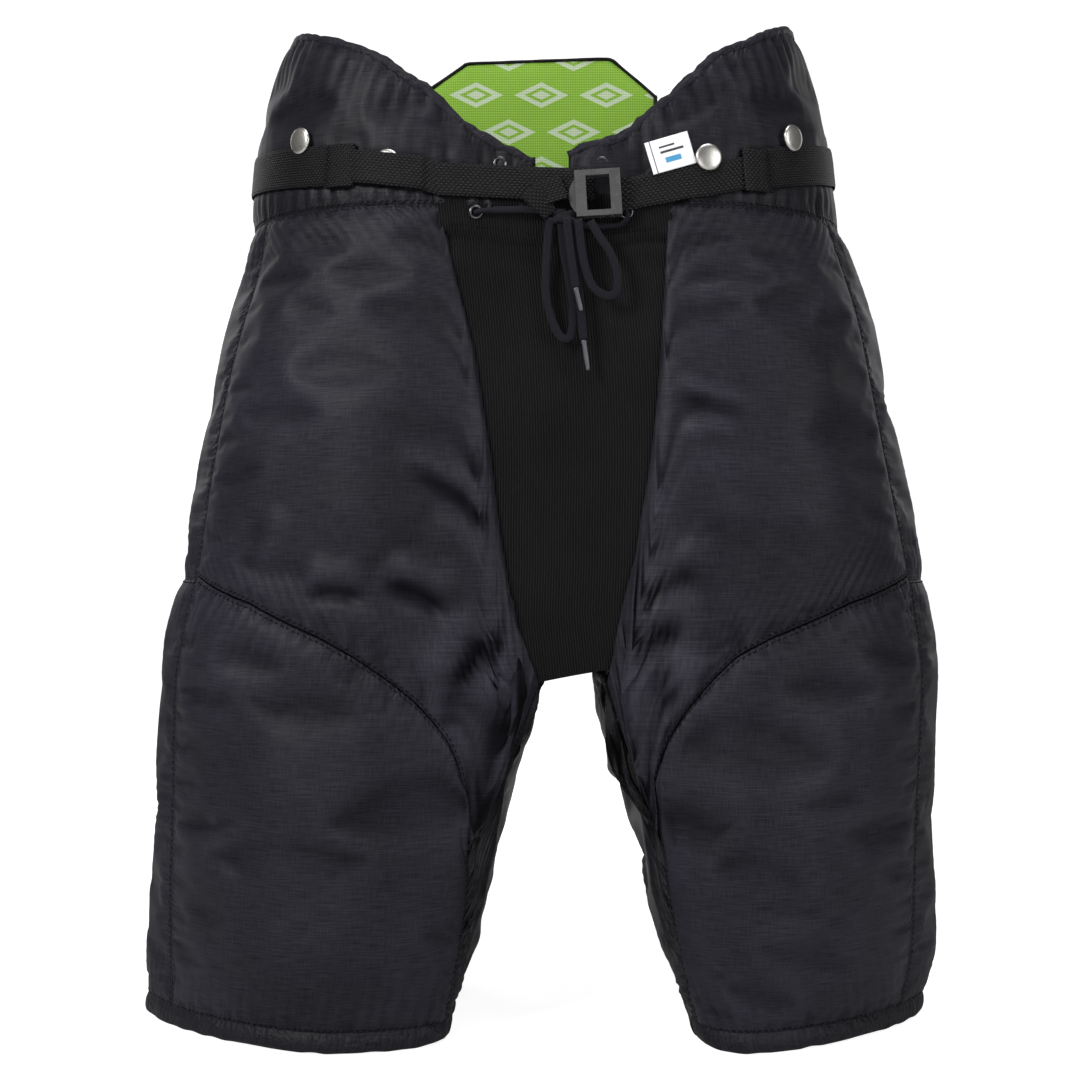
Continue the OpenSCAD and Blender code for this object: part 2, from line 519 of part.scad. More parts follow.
hem_band(RIGHT);  // hem_band_right
thigh_guard(RIGHT);  // thigh_guard_right
thigh_foam(RIGHT);  // thigh_foam_right
leg_liner(RIGHT);  // leg_liner_right
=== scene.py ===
import bpy
import math
import numpy as np
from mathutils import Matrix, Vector


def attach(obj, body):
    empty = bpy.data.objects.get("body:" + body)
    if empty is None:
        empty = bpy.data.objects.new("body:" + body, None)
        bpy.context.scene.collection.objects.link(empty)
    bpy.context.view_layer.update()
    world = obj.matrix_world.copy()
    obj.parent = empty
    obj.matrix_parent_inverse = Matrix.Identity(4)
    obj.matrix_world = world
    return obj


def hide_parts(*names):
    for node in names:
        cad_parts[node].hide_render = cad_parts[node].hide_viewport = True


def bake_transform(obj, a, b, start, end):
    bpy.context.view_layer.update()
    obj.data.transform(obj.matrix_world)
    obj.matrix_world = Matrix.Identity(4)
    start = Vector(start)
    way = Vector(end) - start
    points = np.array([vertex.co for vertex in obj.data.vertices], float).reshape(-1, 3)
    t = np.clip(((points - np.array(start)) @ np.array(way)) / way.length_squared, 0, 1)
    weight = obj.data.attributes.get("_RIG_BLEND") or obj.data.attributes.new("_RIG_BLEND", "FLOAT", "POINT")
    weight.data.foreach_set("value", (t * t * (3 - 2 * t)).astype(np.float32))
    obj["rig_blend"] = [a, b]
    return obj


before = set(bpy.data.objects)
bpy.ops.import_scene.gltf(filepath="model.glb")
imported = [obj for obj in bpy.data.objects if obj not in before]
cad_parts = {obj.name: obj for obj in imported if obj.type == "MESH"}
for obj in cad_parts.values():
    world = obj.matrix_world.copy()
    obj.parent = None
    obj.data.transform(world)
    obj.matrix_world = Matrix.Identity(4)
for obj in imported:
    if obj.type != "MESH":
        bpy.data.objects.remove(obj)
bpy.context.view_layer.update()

LEFT, RIGHT = -1, 1                      # -X and +X side, as seen from the front
SIDE = {LEFT: "left", RIGHT: "right"}
MM = 0.001

# ------------------------------------------------------------------ camera, light and floor
CAMERA_AT = (-0.001, -1.15, 0.328)
LENS = 54.76
AIM = (0, 0, 0.34)                       # where the lamps look


def studio():
    scene = bpy.context.scene
    scene.view_settings.view_transform = "Standard"
    cam = bpy.data.objects.new("camera", bpy.data.cameras.new("camera"))
    cam.data.lens = LENS
    cam.data.sensor_width = 36
    cam.location = CAMERA_AT
    cam.rotation_euler = (math.pi / 2, 0, 0)
    scene.collection.objects.link(cam)
    scene.camera = cam
    world = scene.world = bpy.data.worlds.new("studio")
    world.use_nodes = True
    nt = world.node_tree
    dim, white = nt.nodes["Background"], nt.nodes.new("ShaderNodeBackground")
    for node, strength in ((dim, 0.10), (white, 1.0)):
        node.inputs["Color"].default_value = (1, 1, 1, 1)
        node.inputs["Strength"].default_value = strength
    mix = nt.nodes.new("ShaderNodeMixShader")
    path = nt.nodes.new("ShaderNodeLightPath")
    for k, out in enumerate((path.outputs["Is Camera Ray"], dim.outputs[0], white.outputs[0])):
        nt.links.new(out, mix.inputs[k])
    nt.links.new(mix.outputs[0], nt.nodes["World Output"].inputs["Surface"])
    for name, at, size, watts in (("key", (-1.4, -1.6, 1.4), 0.6, 37), ("fill", (1.6, -1.5, 0.8), 1.2, 16),
                                  ("top", (0.1, -0.5, 2.1), 1.0, 15), ("low", (-0.2, -1.9, 0.25), 0.9, 5),
                                  ("back_left", (-1.2, 1.7, 1.2), 1.2, 9),
                                  ("back_right", (1.3, 1.6, 0.9), 1.2, 7)):
        data = bpy.data.lights.new(name, "AREA")
        data.size = size
        data.energy = watts
        lamp = bpy.data.objects.new(name, data)
        lamp.location = at
        lamp.rotation_euler = (Vector(AIM) - Vector(at)).to_track_quat("-Z", "Y").to_euler()
        scene.collection.objects.link(lamp)
    grid_object("floor", *backdrop_grid(), floor_material())


def backdrop_grid():
    """A plain floor that curves up into a backdrop far behind."""
    run = np.linspace(-2.6, 5.4, 60)
    turn = np.clip((run - 2.2) / 1.6, 0, 1)
    y = np.where(run < 2.2, run, 2.2 + 1.0 * np.sin(turn * math.pi / 2))
    z = np.where(run < 2.2, 0, 1.0 * (1 - np.cos(turn * math.pi / 2))) + np.maximum(run - 3.8, 0) * 1.5
    x = np.linspace(-4, 4, 20)
    xx, yy = np.meshgrid(x, y)
    return np.stack([xx, yy, np.broadcast_to(z[:, None], xx.shape) - 0.0006], -1), np.stack([xx, yy], -1)


# ------------------------------------------------------------------ meshes
def grid_faces(rows, cols, ring=False, flip=False):
    j, i = np.meshgrid(np.arange(rows - 1), np.arange(cols if ring else cols - 1), indexing="ij")
    a = j * cols + i
    b = j * cols + (i + 1) % cols
    c = (j + 1) * cols + (i + 1) % cols
    d = (j + 1) * cols + i
    quads = np.stack([a, b, c, d], -1).reshape(-1, 4)
    return quads[:, ::-1] if flip else quads


def new_object(name, verts, faces, corner_uv=None, material=None):
    mesh = bpy.data.meshes.new(name)
    mesh.from_pydata(np.asarray(verts, float).reshape(-1, 3).tolist(), [], [list(map(int, f)) for f in faces])
    mesh.polygons.foreach_set("use_smooth", [True] * len(mesh.polygons))
    if corner_uv is not None:
        layer = mesh.uv_layers.new(name="UVMap")
        layer.data.foreach_set("uv", np.asarray(corner_uv, np.float32).ravel())
    mesh.update()
    obj = bpy.data.objects.new(name, mesh)
    bpy.context.scene.collection.objects.link(obj)
    if material:
        mesh.materials.append(material)
    return obj


def corner_uvs(uv, flip=False):
    corners = np.stack([uv[:-1, :-1], uv[:-1, 1:], uv[1:, 1:], uv[1:, :-1]], axis=2)
    return corners[:, :, ::-1] if flip else corners


def grid_object(name, pts, uv, material, ring=False, flip=False):
    """A sheet from a rows x columns x 3 array; the UV map is in metres, one column wider for a ring."""
    rows, cols = pts.shape[:2]
    return new_object(name, pts, grid_faces(rows, cols, ring, flip), corner_uvs(np.asarray(uv), flip), material)


def closed_sheet(name, outer, inner, material, flip=False, uv=None):
    """A solid between two grids, its rims closed; its UV map is in metres along the outer one unless given."""
    rows, cols = outer.shape[:2]
    n = rows * cols
    ids = np.arange(n).reshape(rows, cols)
    loop = np.concatenate([ids[0], ids[1:, -1], ids[-1, -2::-1], ids[-2:0:-1, 0]])
    after = np.roll(loop, -1)
    rim = np.stack([loop, loop + n, after + n, after], -1)
    faces = np.concatenate([grid_faces(rows, cols, flip=flip), grid_faces(rows, cols, flip=not flip) + n,
                            rim[:, ::-1] if flip else rim])
    uv = np.stack(lengths(outer), -1) if uv is None else uv
    flat = np.concatenate([uv.reshape(-1, 2)] * 2)
    return new_object(name, np.concatenate([outer.reshape(-1, 3), inner.reshape(-1, 3)]), faces,
                      flat[faces.ravel()], material)


def normals(pts, flip=False):
    du = np.gradient(pts, axis=1)
    dv = np.gradient(pts, axis=0)
    n = np.cross(du, dv)
    n /= np.linalg.norm(n, axis=-1, keepdims=True) + 1e-12
    return -n if flip else n


def lengths(pts):
    """Distance along the rows and up the columns of a grid, in metres."""
    along = np.zeros(pts.shape[:2])
    along[:, 1:] = np.cumsum(np.linalg.norm(np.diff(pts, axis=1), axis=-1), axis=1)
    up = np.zeros(pts.shape[:2])
    up[1:] = np.cumsum(np.linalg.norm(np.diff(pts, axis=0), axis=-1), axis=0)
    return along, up


def edge_distance(pts):
    """How far each point of a grid is from each of its edges, in metres along the grid."""
    along, up = lengths(pts)
    return {"left": along, "right": along[:, -1:] - along, "foot": up, "head": up[-1:] - up}


def rim_distance(pts):
    return np.minimum.reduce(list(edge_distance(pts).values()))


def finer(pts):
    """Twice as many rows and columns, on a smooth curve through the old ones."""
    def once(p):
        e = np.concatenate([2 * p[:1] - p[1:2], p, 2 * p[-1:] - p[-2:-1]])
        mid = (9 * (e[1:-2] + e[2:-1]) - e[:-3] - e[3:]) / 16
        out = np.empty((2 * len(p) - 1,) + p.shape[1:])
        out[0::2], out[1::2] = p, mid
        return out
    return once(once(pts).swapaxes(0, 1)).swapaxes(0, 1)


LATTICE = np.random.RandomState(7).uniform(-1, 1, (24, 24, 24))


def noise(p, scale, seed=0):
    """Smooth value noise from -1 to 1 over points in metres."""
    q = np.asarray(p) / np.asarray(scale) + 11.3 * seed + 50
    i = np.floor(q).astype(int)
    f = q - i
    f = f * f * (3 - 2 * f)
    total = 0
    for dx in (0, 1):
        for dy in (0, 1):
            for dz in (0, 1):
                w = (np.abs(1 - dx - f[..., 0]) * np.abs(1 - dy - f[..., 1]) * np.abs(1 - dz - f[..., 2]))
                total = total + w * LATTICE[(i[..., 0] + dx) % 24, (i[..., 1] + dy) % 24, (i[..., 2] + dz) % 24]
    return total


# ------------------------------------------------------------------ the worn shape, in mm, as in the CAD
OUTER = {LEFT: [(0, 276), (90, 271), (150, 266), (235, 262), (270, 256), (305, 246), (370, 237), (440, 224),
                (475, 214), (510, 202), (545, 198), (600, 193), (680, 170)],
         RIGHT: [(0, 264), (45, 274), (140, 271), (245, 273), (310, 262), (400, 243), (475, 228), (512, 215),
                 (550, 201), (600, 196), (680, 172)]}
INNER = {LEFT: [(0, 64), (60, 48), (110, 36), (165, 22), (236, 1)],
         RIGHT: [(0, 104), (22, 95), (50, 87), (112, 72), (150, 62), (175, 50), (236, 41)]}
KNIT = {LEFT: [(236, 1), (278, 17), (334, 26), (384, 32), (447, 42), (510, 58), (545, 67)],
        RIGHT: [(236, 41), (278, 49), (316, 58), (372, 67), (416, 72), (461, 75), (545, 80)]}
MIDDLE = {LEFT: [(0, 140), (240, 122), (400, 96), (545, 74)], RIGHT: [(0, 134), (240, 125), (400, 103), (545, 86)]}
FRONT = [(0, 102), (120, 112), (240, 122), (330, 128), (420, 130), (500, 126), (560, 120), (600, 117), (700, 112)]
BACK = [(0, 97), (120, 112), (240, 128), (330, 138), (420, 140), (500, 134), (560, 128), (600, 127), (700, 124)]
BACK_CENTRE = {LEFT: [(236, 1), (262, -19.5), (560, -5)], RIGHT: [(236, 41), (262, 20.5), (560, 5)]}
SQUARE_INNER = [(0, 0.35), (150, 0.35), (236, 0.08), (245, 0)]
ROUND_OUTER = [(0, 1.4), (150, 1.85), (240, 2)]
CROTCH_Z = 236


def look(z, points, soften=14):
    """A table's value at heights z, its corners rounded."""
    xs, ys = zip(*points)
    if not soften:
        return np.interp(z, xs, ys)
    return sum(w * np.interp(z + k * soften, xs, ys) for k, w in ((-1, 0.25), (0, 0.5), (1, 0.25)))


def shape(s, u, z, o=0.0):
    """Points of the worn shape in metres: u is 0 knit edge, 1 front crease, 2 outer side, 3 back crease,
    4 centre back, 5 round the inside of the leg to the front again; o is the depth under the shell in mm."""
    u, z, o = np.broadcast_arrays(np.asarray(u, float), np.asarray(z, float), np.asarray(o, float))
    u = np.where(u > 5, u - 5, u)
    low = z < CROTCH_Z
    xo = look(z, OUTER[s]) - o
    xc = look(z, MIDDLE[s])
    xi = np.where(low, look(np.minimum(z, CROTCH_Z), INNER[s], 0) + o,
                  np.where(u < 2, look(np.maximum(z, CROTCH_Z), KNIT[s], 0), look(z, BACK_CENTRE[s], 0)))
    df, db = look(z, FRONT) - o, look(z, BACK) - o
    m = look(z, SQUARE_INNER)
    p = 2 / look(z, ROUND_OUTER)
    half = math.pi / 2
    cap = lambda v: np.clip(v, 0, 1)
    f1, f2, f3, f4 = (half * cap(1 - u), half * cap(u - 1), half * (1 + cap(u - 2)), half * cap(u - 3))
    zones = [u < 0, u <= 1, u <= 2, u <= 3, u <= 4]
    x = np.select(zones, [xi + 100 * u, xc + (xi - xc) * np.sin(f1), xc + (xo - xc) * np.sin(f2) ** p,
                          xc + (xo - xc) * np.sin(f3), xc + (xi - xc) * np.sin(f4)], xi)
    y = np.select(zones, [-df, -df * (1 - m * (1 - np.cos(f1))), -df * np.maximum(np.cos(f2), 0) ** p,
                          db * np.abs(np.cos(f3)), db * (1 - m * (1 - np.cos(f4)))],
                  (1 - m) * (db * (5 - u) - df * (u - 4)))
    return np.stack([s * x, y, z], -1) * MM


def even_columns(s, u0, u1, z, n):
    """n places from u0 to u1, equally far apart round the shape at height z."""
    u = np.linspace(u0, u1, 400)
    d = np.concatenate([[0], np.cumsum(np.linalg.norm(np.diff(shape(s, u, z), axis=0), axis=-1))])
    return np.interp(np.linspace(0, d[-1], n), d, u), d[-1]


CELL = 0.005


def panel_places(s, u0, u1, foot, head, lean=None, lean_last=None, cell=CELL):
    """(u, z) of a grid whose edges are u0, u1 and the curves foot(u) and head(u); lean and lean_last move its
    first and last edges with z."""
    middle = np.array([(u0 + u1) / 2])
    z_mid = float((foot(middle)[0] + head(middle)[0]) / 2)
    _, width = even_columns(s, u0, u1, z_mid, 10)
    u, _ = even_columns(s, u0, u1, z_mid, max(6, int(round(width / cell)) + 1))
    tall = head(u) - foot(u)
    rows = max(5, int(round(float(np.max(tall)) * MM / cell)) + 1)
    z = foot(u)[None] + tall[None] * np.linspace(0, 1, rows)[:, None]
    uu = np.repeat(u[None], rows, 0)
    share = (u1 - uu) / (u1 - u0)
    if lean:
        uu = uu + lean(z) * share
    if lean_last:
        uu = uu + lean_last(z) * (1 - share)
    return uu, z


def seam_profile(pts, edge_in, puff, reach):
    """Depth of a panel under the shell: drawn in at its edges, standing proud between them, in mm."""
    return edge_in - (edge_in + puff) * (1 - np.exp(-rim_distance(pts) / reach))


# ------------------------------------------------------------------ materials
def feed(nt, socket, value):
    """Links a value to a socket, or sets the socket to it."""
    if isinstance(value, Value):
        nt.links.new(value.out, socket)
    else:
        socket.default_value = value


class Value:
    """A shader value that is added, multiplied and compared like a number."""

    def __init__(self, nt, out):
        self.nt, self.out = nt, out

    def math(self, op, other=0.0, last=False, clamp=False):
        node = self.nt.nodes.new("ShaderNodeMath")
        node.operation, node.use_clamp = op, clamp
        for socket, value in zip(node.inputs, (other, self) if last else (self, other)):
            feed(self.nt, socket, value)
        return Value(self.nt, node.outputs[0])

    def __rsub__(self, other):
        return self.math("SUBTRACT", other, last=True)

    def __abs__(self):
        return self.math("ABSOLUTE")

    def cut(self):
        """Kept between 0 and 1."""
        return self.math("ADD", clamp=True)

    def wave(self, period):
        """A smooth 0 to 1 wave along the value, its period in metres."""
        return (self * (2 * math.pi / period)).math("SINE") * 0.5 + 0.5


for operator, op in (("add", "ADD"), ("sub", "SUBTRACT"), ("mul", "MULTIPLY"), ("truediv", "DIVIDE"),
                     ("mod", "MODULO"), ("gt", "GREATER_THAN"), ("lt", "LESS_THAN")):
    setattr(Value, "__%s__" % operator, lambda self, other, op=op: self.math(op, other))


class Look:
    """A principled material while its nodes are put together."""

    def __init__(self, name, color, rough=0.5, **sockets):
        self.mat = bpy.data.materials.new(name)
        self.mat.use_nodes = True
        self.nt = self.mat.node_tree
        self.put(Base_Color=(*color, 1), Roughness=rough, **sockets)

    def put(self, **values):
        for key, value in values.items():
            feed(self.nt, self.nt.nodes["Principled BSDF"].inputs[key.replace("_", " ")], value)

    def node(self, kind, out=0, inputs=(), **settings):
        """A new node's output, its sockets fed by name."""
        node = self.nt.nodes.new("ShaderNode" + kind)
        for key, value in settings.items():
            setattr(node, key, value)
        for key, value in dict(inputs).items():
            feed(self.nt, node.inputs[key], value)
        return Value(self.nt, node.outputs[out])

    def uv(self, name="UVMap"):
        """A UV map as a vector and as its two parts."""
        vector = self.node("UVMap", uv_map=name)
        return vector, *(self.node("SeparateXYZ", k, {"Vector": vector}) for k in (0, 1))

    def noise(self, scale, detail=3, vector=None):
        vector = vector or self.node("TexCoord", "Object")
        return self.node("TexNoise", "Fac",
                         {"Scale": scale, "Detail": detail, "Roughness": 0.55, "Vector": vector})

    def drawn(self, vector, scale, detail=2):
        """Noise drawn out along one direction; scale is features per metre each way."""
        return self.noise(1.0, detail, self.node("Mapping", 0, {"Scale": scale, "Vector": vector}))

    def ramp(self, value, color, *stops):
        """Tones of a colour along a value; a stop is (place, tone) or (place, a tone for each channel)."""
        node = self.nt.nodes.new("ShaderNodeValToRGB")
        for element, (at, tone) in zip(node.color_ramp.elements, stops[:1] + stops[-1:]):
            element.position = at
            element.color = (*(np.array(color) * tone), 1)
        for at, tone in stops[1:-1]:
            node.color_ramp.elements.new(at).color = (*(np.array(color) * tone), 1)
        feed(self.nt, node.inputs[0], value)
        return Value(self.nt, node.outputs[0])

    def mixed(self, share, a, b):
        return self.node("Mix", "Result", {"Factor": share, "A": a, "B": b}, data_type="RGBA")

    def bump(self, height, distance, strength=1.0, below=None):
        """Raises the surface by a height, on top of an earlier bump if there is one."""
        inputs = {"Strength": strength, "Distance": distance, "Height": height}
        if below:
            inputs["Normal"] = below
        raised = self.node("Bump", 0, inputs)
        self.put(Normal=raised)
        return raised


def seam_marks(look):
    """Needle puckers and needle marks beside a sewn edge, from the second UV map: (run, distance) in metres."""
    _, run, away = look.uv("Seam")
    fade = (away * -200).math("EXPONENT")
    uneven = ((look.noise(45, 2) - 0.3) * 2.4).cut()
    pucker = (run + look.noise(90, 3) * 0.016).wave(0.0050) * (fade * uneven)
    row = (1.0 - abs(away - 0.0024) * (1 / 0.0009)).cut()
    return pucker, row * (run.wave(0.0042) > 0.45)


def nylon(name, color, rough, crinkle=0.0):
    """Woven nylon: fine crosswise threads, soft change of tone, scuffed lighter here and there, needle puckers;
    the third UV map holds painted fold shade and highlight: over 0 on a ridge, painted lighter, and under 0 in a
    crease, painted darker."""
    look = Look(name, color, rough, Specular_IOR_Level=0.2, Sheen_Weight=0.015, Sheen_Roughness=0.5)
    uv = look.uv()[0]
    threads = look.drawn(uv, (60, 1250, 1)) * 0.62 + look.drawn(uv, (1500, 90, 1)) * 0.38
    pucker, mark = seam_marks(look)
    tone = look.ramp(look.noise(9.0, 4) * 0.5 + threads * 0.5 - mark * 0.4, color,
                     (0.34, 0.5), (0.5, 1), (0.66, 1.7))
    # painted shade and highlight: the fold factor scales the colour and the specular, darker in creases, lighter on
    # ridges
    fold = look.uv("Fold")[1] + 1.0
    gloss = (threads * 0.55 - 0.075 - mark * 0.15).cut()
    look.put(Base_Color=look.node("VectorMath", 0, {0: tone, "Scale": fold}, operation="SCALE"),
             Specular_IOR_Level=gloss * fold, Roughness=threads * 0.2 + (rough - 0.1))
    fine = look.bump(threads, 0.0001, 0.8, look.bump(pucker, 0.0015, 0.8))
    if crinkle:
        look.bump(look.noise(70, 4), crinkle, 0.5, fine)
    return look.mat


def rib_knit(name, color):
    look = Look(name, color, 0.85, Specular_IOR_Level=0.12, Sheen_Weight=0.02, Sheen_Roughness=0.6)
    _, along, up = look.uv()
    rib = along.wave(0.0017)
    look.bump(rib + up.wave(0.0012) * rib * 0.35, 0.0008)
    # painted shade: the colour follows the ribs, darker between them, with some random tone
    look.put(Base_Color=look.ramp((rib + look.noise(14, 4)) * 0.5, color, (0.25, 0.1), (0.8, 2.6)))
    return look.mat


def webbing(name, color, thread=0.0017):
    """Plain woven tape: warp ribs that dive under the weft in turn."""
    look = Look(name, color, 0.55, Specular_IOR_Level=0.17, Sheen_Weight=0.005)
    _, along, up = look.uv()
    odd = (up / thread).math("FLOOR") % 2.0 * (thread * 0.9)
    cell = up.wave(thread) * (along + odd).wave(thread * 1.8)
    look.bump(cell, 0.0009)
    # painted shade and highlight: the colour follows the weave's height, darker in its hollows, lighter on raised
    # threads, with some random tone
    look.put(Base_Color=look.ramp(cell * 0.8 + look.noise(40, 3) * 0.2, color, (0.2, 0.05), (0.8, 5.0)))
    return look.mat


def braid(name, color):
    look = Look(name, color, 0.7, Specular_IOR_Level=0.2, Sheen_Weight=0.03)
    _, along, up = look.uv()
    cell = (along + up).wave(0.0013).math("MAXIMUM", (along - up).wave(0.0013))
    look.bump(cell, 0.0004, 0.8)
    # painted shade and highlight: darker in the braid's hollows, lighter on its raised crossings
    look.put(Base_Color=look.ramp(cell, color, (0.2, 0.5), (1.0, 2.0)))
    return look.mat


def lime_lining(name):
    """Lime mesh knit with a plain print of small grey lozenges in staggered rows."""
    look = Look(name, (0.235, 0.52, 0.035), 0.8, Specular_IOR_Level=0.2, Sheen_Weight=0.1)
    _, along, up = look.uv()
    row_h, col_w = 0.0285, 0.050
    row = up / row_h
    shift = row.math("FLOOR") % 2.0 * (col_w / 2)
    out = abs(((along + shift) / col_w).math("FRACT") - 0.5) * 1.25 + abs(row.math("FRACT") - 0.5) * 1.5
    printed = (abs(out - 0.42) < 0.10).math("MAXIMUM", out < 0.19)
    knit = along.wave(0.0014) * up.wave(0.0019)
    # painted shade: the green follows the knit's height, darker in its hollows and lighter on its raised loops
    green = look.ramp(knit, (1, 1, 1), (0.0, (0.16, 0.33, 0.03)), (0.8, (0.34, 0.56, 0.08)))
    look.put(Base_Color=look.mixed(printed * (knit * 0.45 + 0.5), green, (0.62, 0.66, 0.60, 1)))
    look.bump(knit, 0.0004, 0.6)
    return look.mat


def moulded(name, color, rough=0.42, grain=900):
    look = Look(name, color, rough, Specular_IOR_Level=0.45)
    worn = look.noise(60, 4)
    look.put(Base_Color=look.ramp(worn, color, (0.35, 0.85), (0.7, 1.18)), Roughness=worn * 0.18 + (rough - 0.09))
    look.bump(look.noise(grain, 2), 0.00008, 0.5)
    return look.mat


def metal(name, color, rough):
    look = Look(name, color, rough, Metallic=1.0)
    lines = look.drawn(look.node("TexCoord", "Object"), (250, 250, 2600), 3)
    look.put(Roughness=lines * 0.25 + (rough - 0.1),
             Base_Color=look.ramp(look.noise(90, 4), color, (0.3, 0.82), (0.7, 1)))
    look.bump(lines, 0.00004, 0.4)
    return look.mat


def foam(name, color):
    look = Look(name, color, 0.9, Specular_IOR_Level=0.15)
    cells = look.node("TexVoronoi", "Distance", {"Scale": 700, "Vector": look.node("TexCoord", "Object")})
    look.bump(cells, 0.0004, 0.6)
    look.put(Base_Color=look.ramp(look.noise(20, 3), color, (0.3, 0.8), (0.7, 1)))
    return look.mat


def label_satin(name):
    """White satin ribbon with generic blue and grey bars, no lettering."""
    look = Look(name, (0.85, 0.86, 0.87), 0.4, Specular_IOR_Level=0.5, Sheen_Weight=0.2)
    _, along, up = look.uv()

    def bar(x0, x1, y0, y1):
        return (along > x0) * (along < x1) * ((up > y0) * (up < y1))
    blue = look.mixed(bar(0.010, 0.020, 0.0050, 0.0085), (0.84, 0.85, 0.86, 1), (0.06, 0.30, 0.55, 1))
    dark = bar(0.008, 0.023, 0.0115, 0.0130).math("MAXIMUM", bar(0.008, 0.018, 0.0150, 0.0162))
    stitch = bar(0.0028, 0.0034, -1, 1)
    look.put(Base_Color=look.mixed(dark.math("MAXIMUM", stitch), blue, (0.03, 0.03, 0.04, 1)))
    look.bump(up.wave(0.0006), 0.00006, 0.5)
    return look.mat


def floor_material():
    look = Look("floor_white", (0.9, 0.9, 0.9), 0.9, Emission_Color=(1, 1, 1, 1))
    look.put(Emission_Strength=look.node("LightPath", "Is Camera Ray") * 0.86,
             Base_Color=look.ramp(look.noise(2, 2), (1, 1, 1), (0.0, 0.60), (1.0, 0.64)))
    return look.mat


MAT = {
    "shell": nylon("nylon_shell", (0.0092, 0.0084, 0.0138), 0.58),
    # The band nylon is a darker copy of the shell nylon, to offset the top and back lamps on the wings: painted shade.
    "band": nylon("nylon_band_painted_shade", (0.0048, 0.0045, 0.0078), 0.56),
    "gusset": nylon("nylon_gusset", (0.0085, 0.0080, 0.0105), 0.42, crinkle=0.0012),
    "hem": nylon("hem_nylon", (0.0080, 0.0074, 0.0115), 0.55),
    "knit": rib_knit("rib_knit", (0.0050, 0.0047, 0.0052)),
    "webbing": webbing("webbing", (0.0050, 0.0048, 0.0055)),
    "keeper": webbing("keeper_webbing", (0.0048, 0.0046, 0.0055), 0.0016),
    "lace": braid("lace_braid", (0.0030, 0.0030, 0.0062)),
    "lining": lime_lining("lime_lining"),
    "leg_lining": rib_knit("leg_lining", (0.012, 0.012, 0.013)),
    "foam": foam("foam", (0.05, 0.05, 0.06)),
    "guard": moulded("guard_plastic", (0.80, 0.80, 0.78), 0.45, 500),
    "buckle": moulded("buckle_plastic", (0.078, 0.076, 0.077), 0.28),
    "nickel": metal("button_nickel", (0.66, 0.64, 0.60), 0.30),
    "eyelet": metal("eyelet_metal", (0.13, 0.13, 0.135), 0.24),
    "pin": metal("pin_steel", (0.5, 0.5, 0.52), 0.3),
    "aglet": moulded("aglet", (0.075, 0.075, 0.085), 0.16, 400),
    "label": label_satin("label_fabric"),
    "binding": nylon("binding", (0.006, 0.006, 0.007), 0.6),
    "thread": foam("thread", (0.0045, 0.0045, 0.0055)),
}

studio()


# ------------------------------------------------------------------ tubes, ribbons and stitches
def unit(v):
    return v / (np.linalg.norm(v, axis=-1, keepdims=True) + 1e-12)


def curve_through(points, n=8):
    """A smooth line through listed points, given in mm, in metres."""
    p = np.asarray(points, float) * MM
    e = np.concatenate([2 * p[:1] - p[1:2], p, 2 * p[-1:] - p[-2:-1]])
    t = np.linspace(0, 1, n, endpoint=False)[:, None]
    parts = [0.5 * (2 * b + (c - a) * t + (2 * a - 5 * b + 4 * c - d) * t ** 2 + (3 * b - a - 3 * c + d) * t ** 3)
             for a, b, c, d in zip(e[:-3], e[1:-2], e[2:-1], e[3:])]
    return np.concatenate(parts + [p[-1:]])


def arc(path):
    return np.concatenate([[0], np.cumsum(np.linalg.norm(np.diff(path, axis=0), axis=-1))])


def tube(name, path, width, thick, facing, mat, sides=12, power=0.75):
    """A flat or round cord along a path: facing is the direction its flat side looks."""
    n = len(path)
    f = unit(np.gradient(path, axis=0))
    side = unit(np.cross(f, np.broadcast_to(facing, (n, 3))))
    up = np.cross(side, f)
    a = np.linspace(0, 2 * math.pi, sides, endpoint=False)
    ca, sa = (np.sign(v) * np.abs(v) ** power for v in (np.cos(a), np.sin(a)))
    w = np.broadcast_to(np.asarray(width, float), (n,))[:, None, None] / 2
    t = np.broadcast_to(np.asarray(thick, float), (n,))[:, None, None] / 2
    rings = path[:, None] + side[:, None] * ca[None, :, None] * w + up[:, None] * sa[None, :, None] * t
    ring = rings[n // 2]
    round_it = arc(np.concatenate([ring, ring[:1]]))
    uv = np.stack(np.broadcast_arrays(arc(path)[:, None], round_it[None]), -1)
    faces = grid_faces(n, sides, ring=True)
    corners = corner_uvs(uv).reshape(-1, 2)
    ends = [[i for i in range(sides)][::-1], [(n - 1) * sides + i for i in range(sides)]]
    corners = np.concatenate([corners, np.zeros((2 * sides, 2))])
    return new_object(name, rings, list(faces) + ends, corners, mat)


def joined(name, objs):
    """Several meshes as one object."""
    bpy.ops.object.select_all(action="DESELECT")
    for o in objs:
        o.select_set(True)
    bpy.context.view_layer.objects.active = objs[0]
    bpy.ops.object.join()
    objs[0].name = name
    objs[0].data.name = name
    return objs[0]


STITCHES = {}


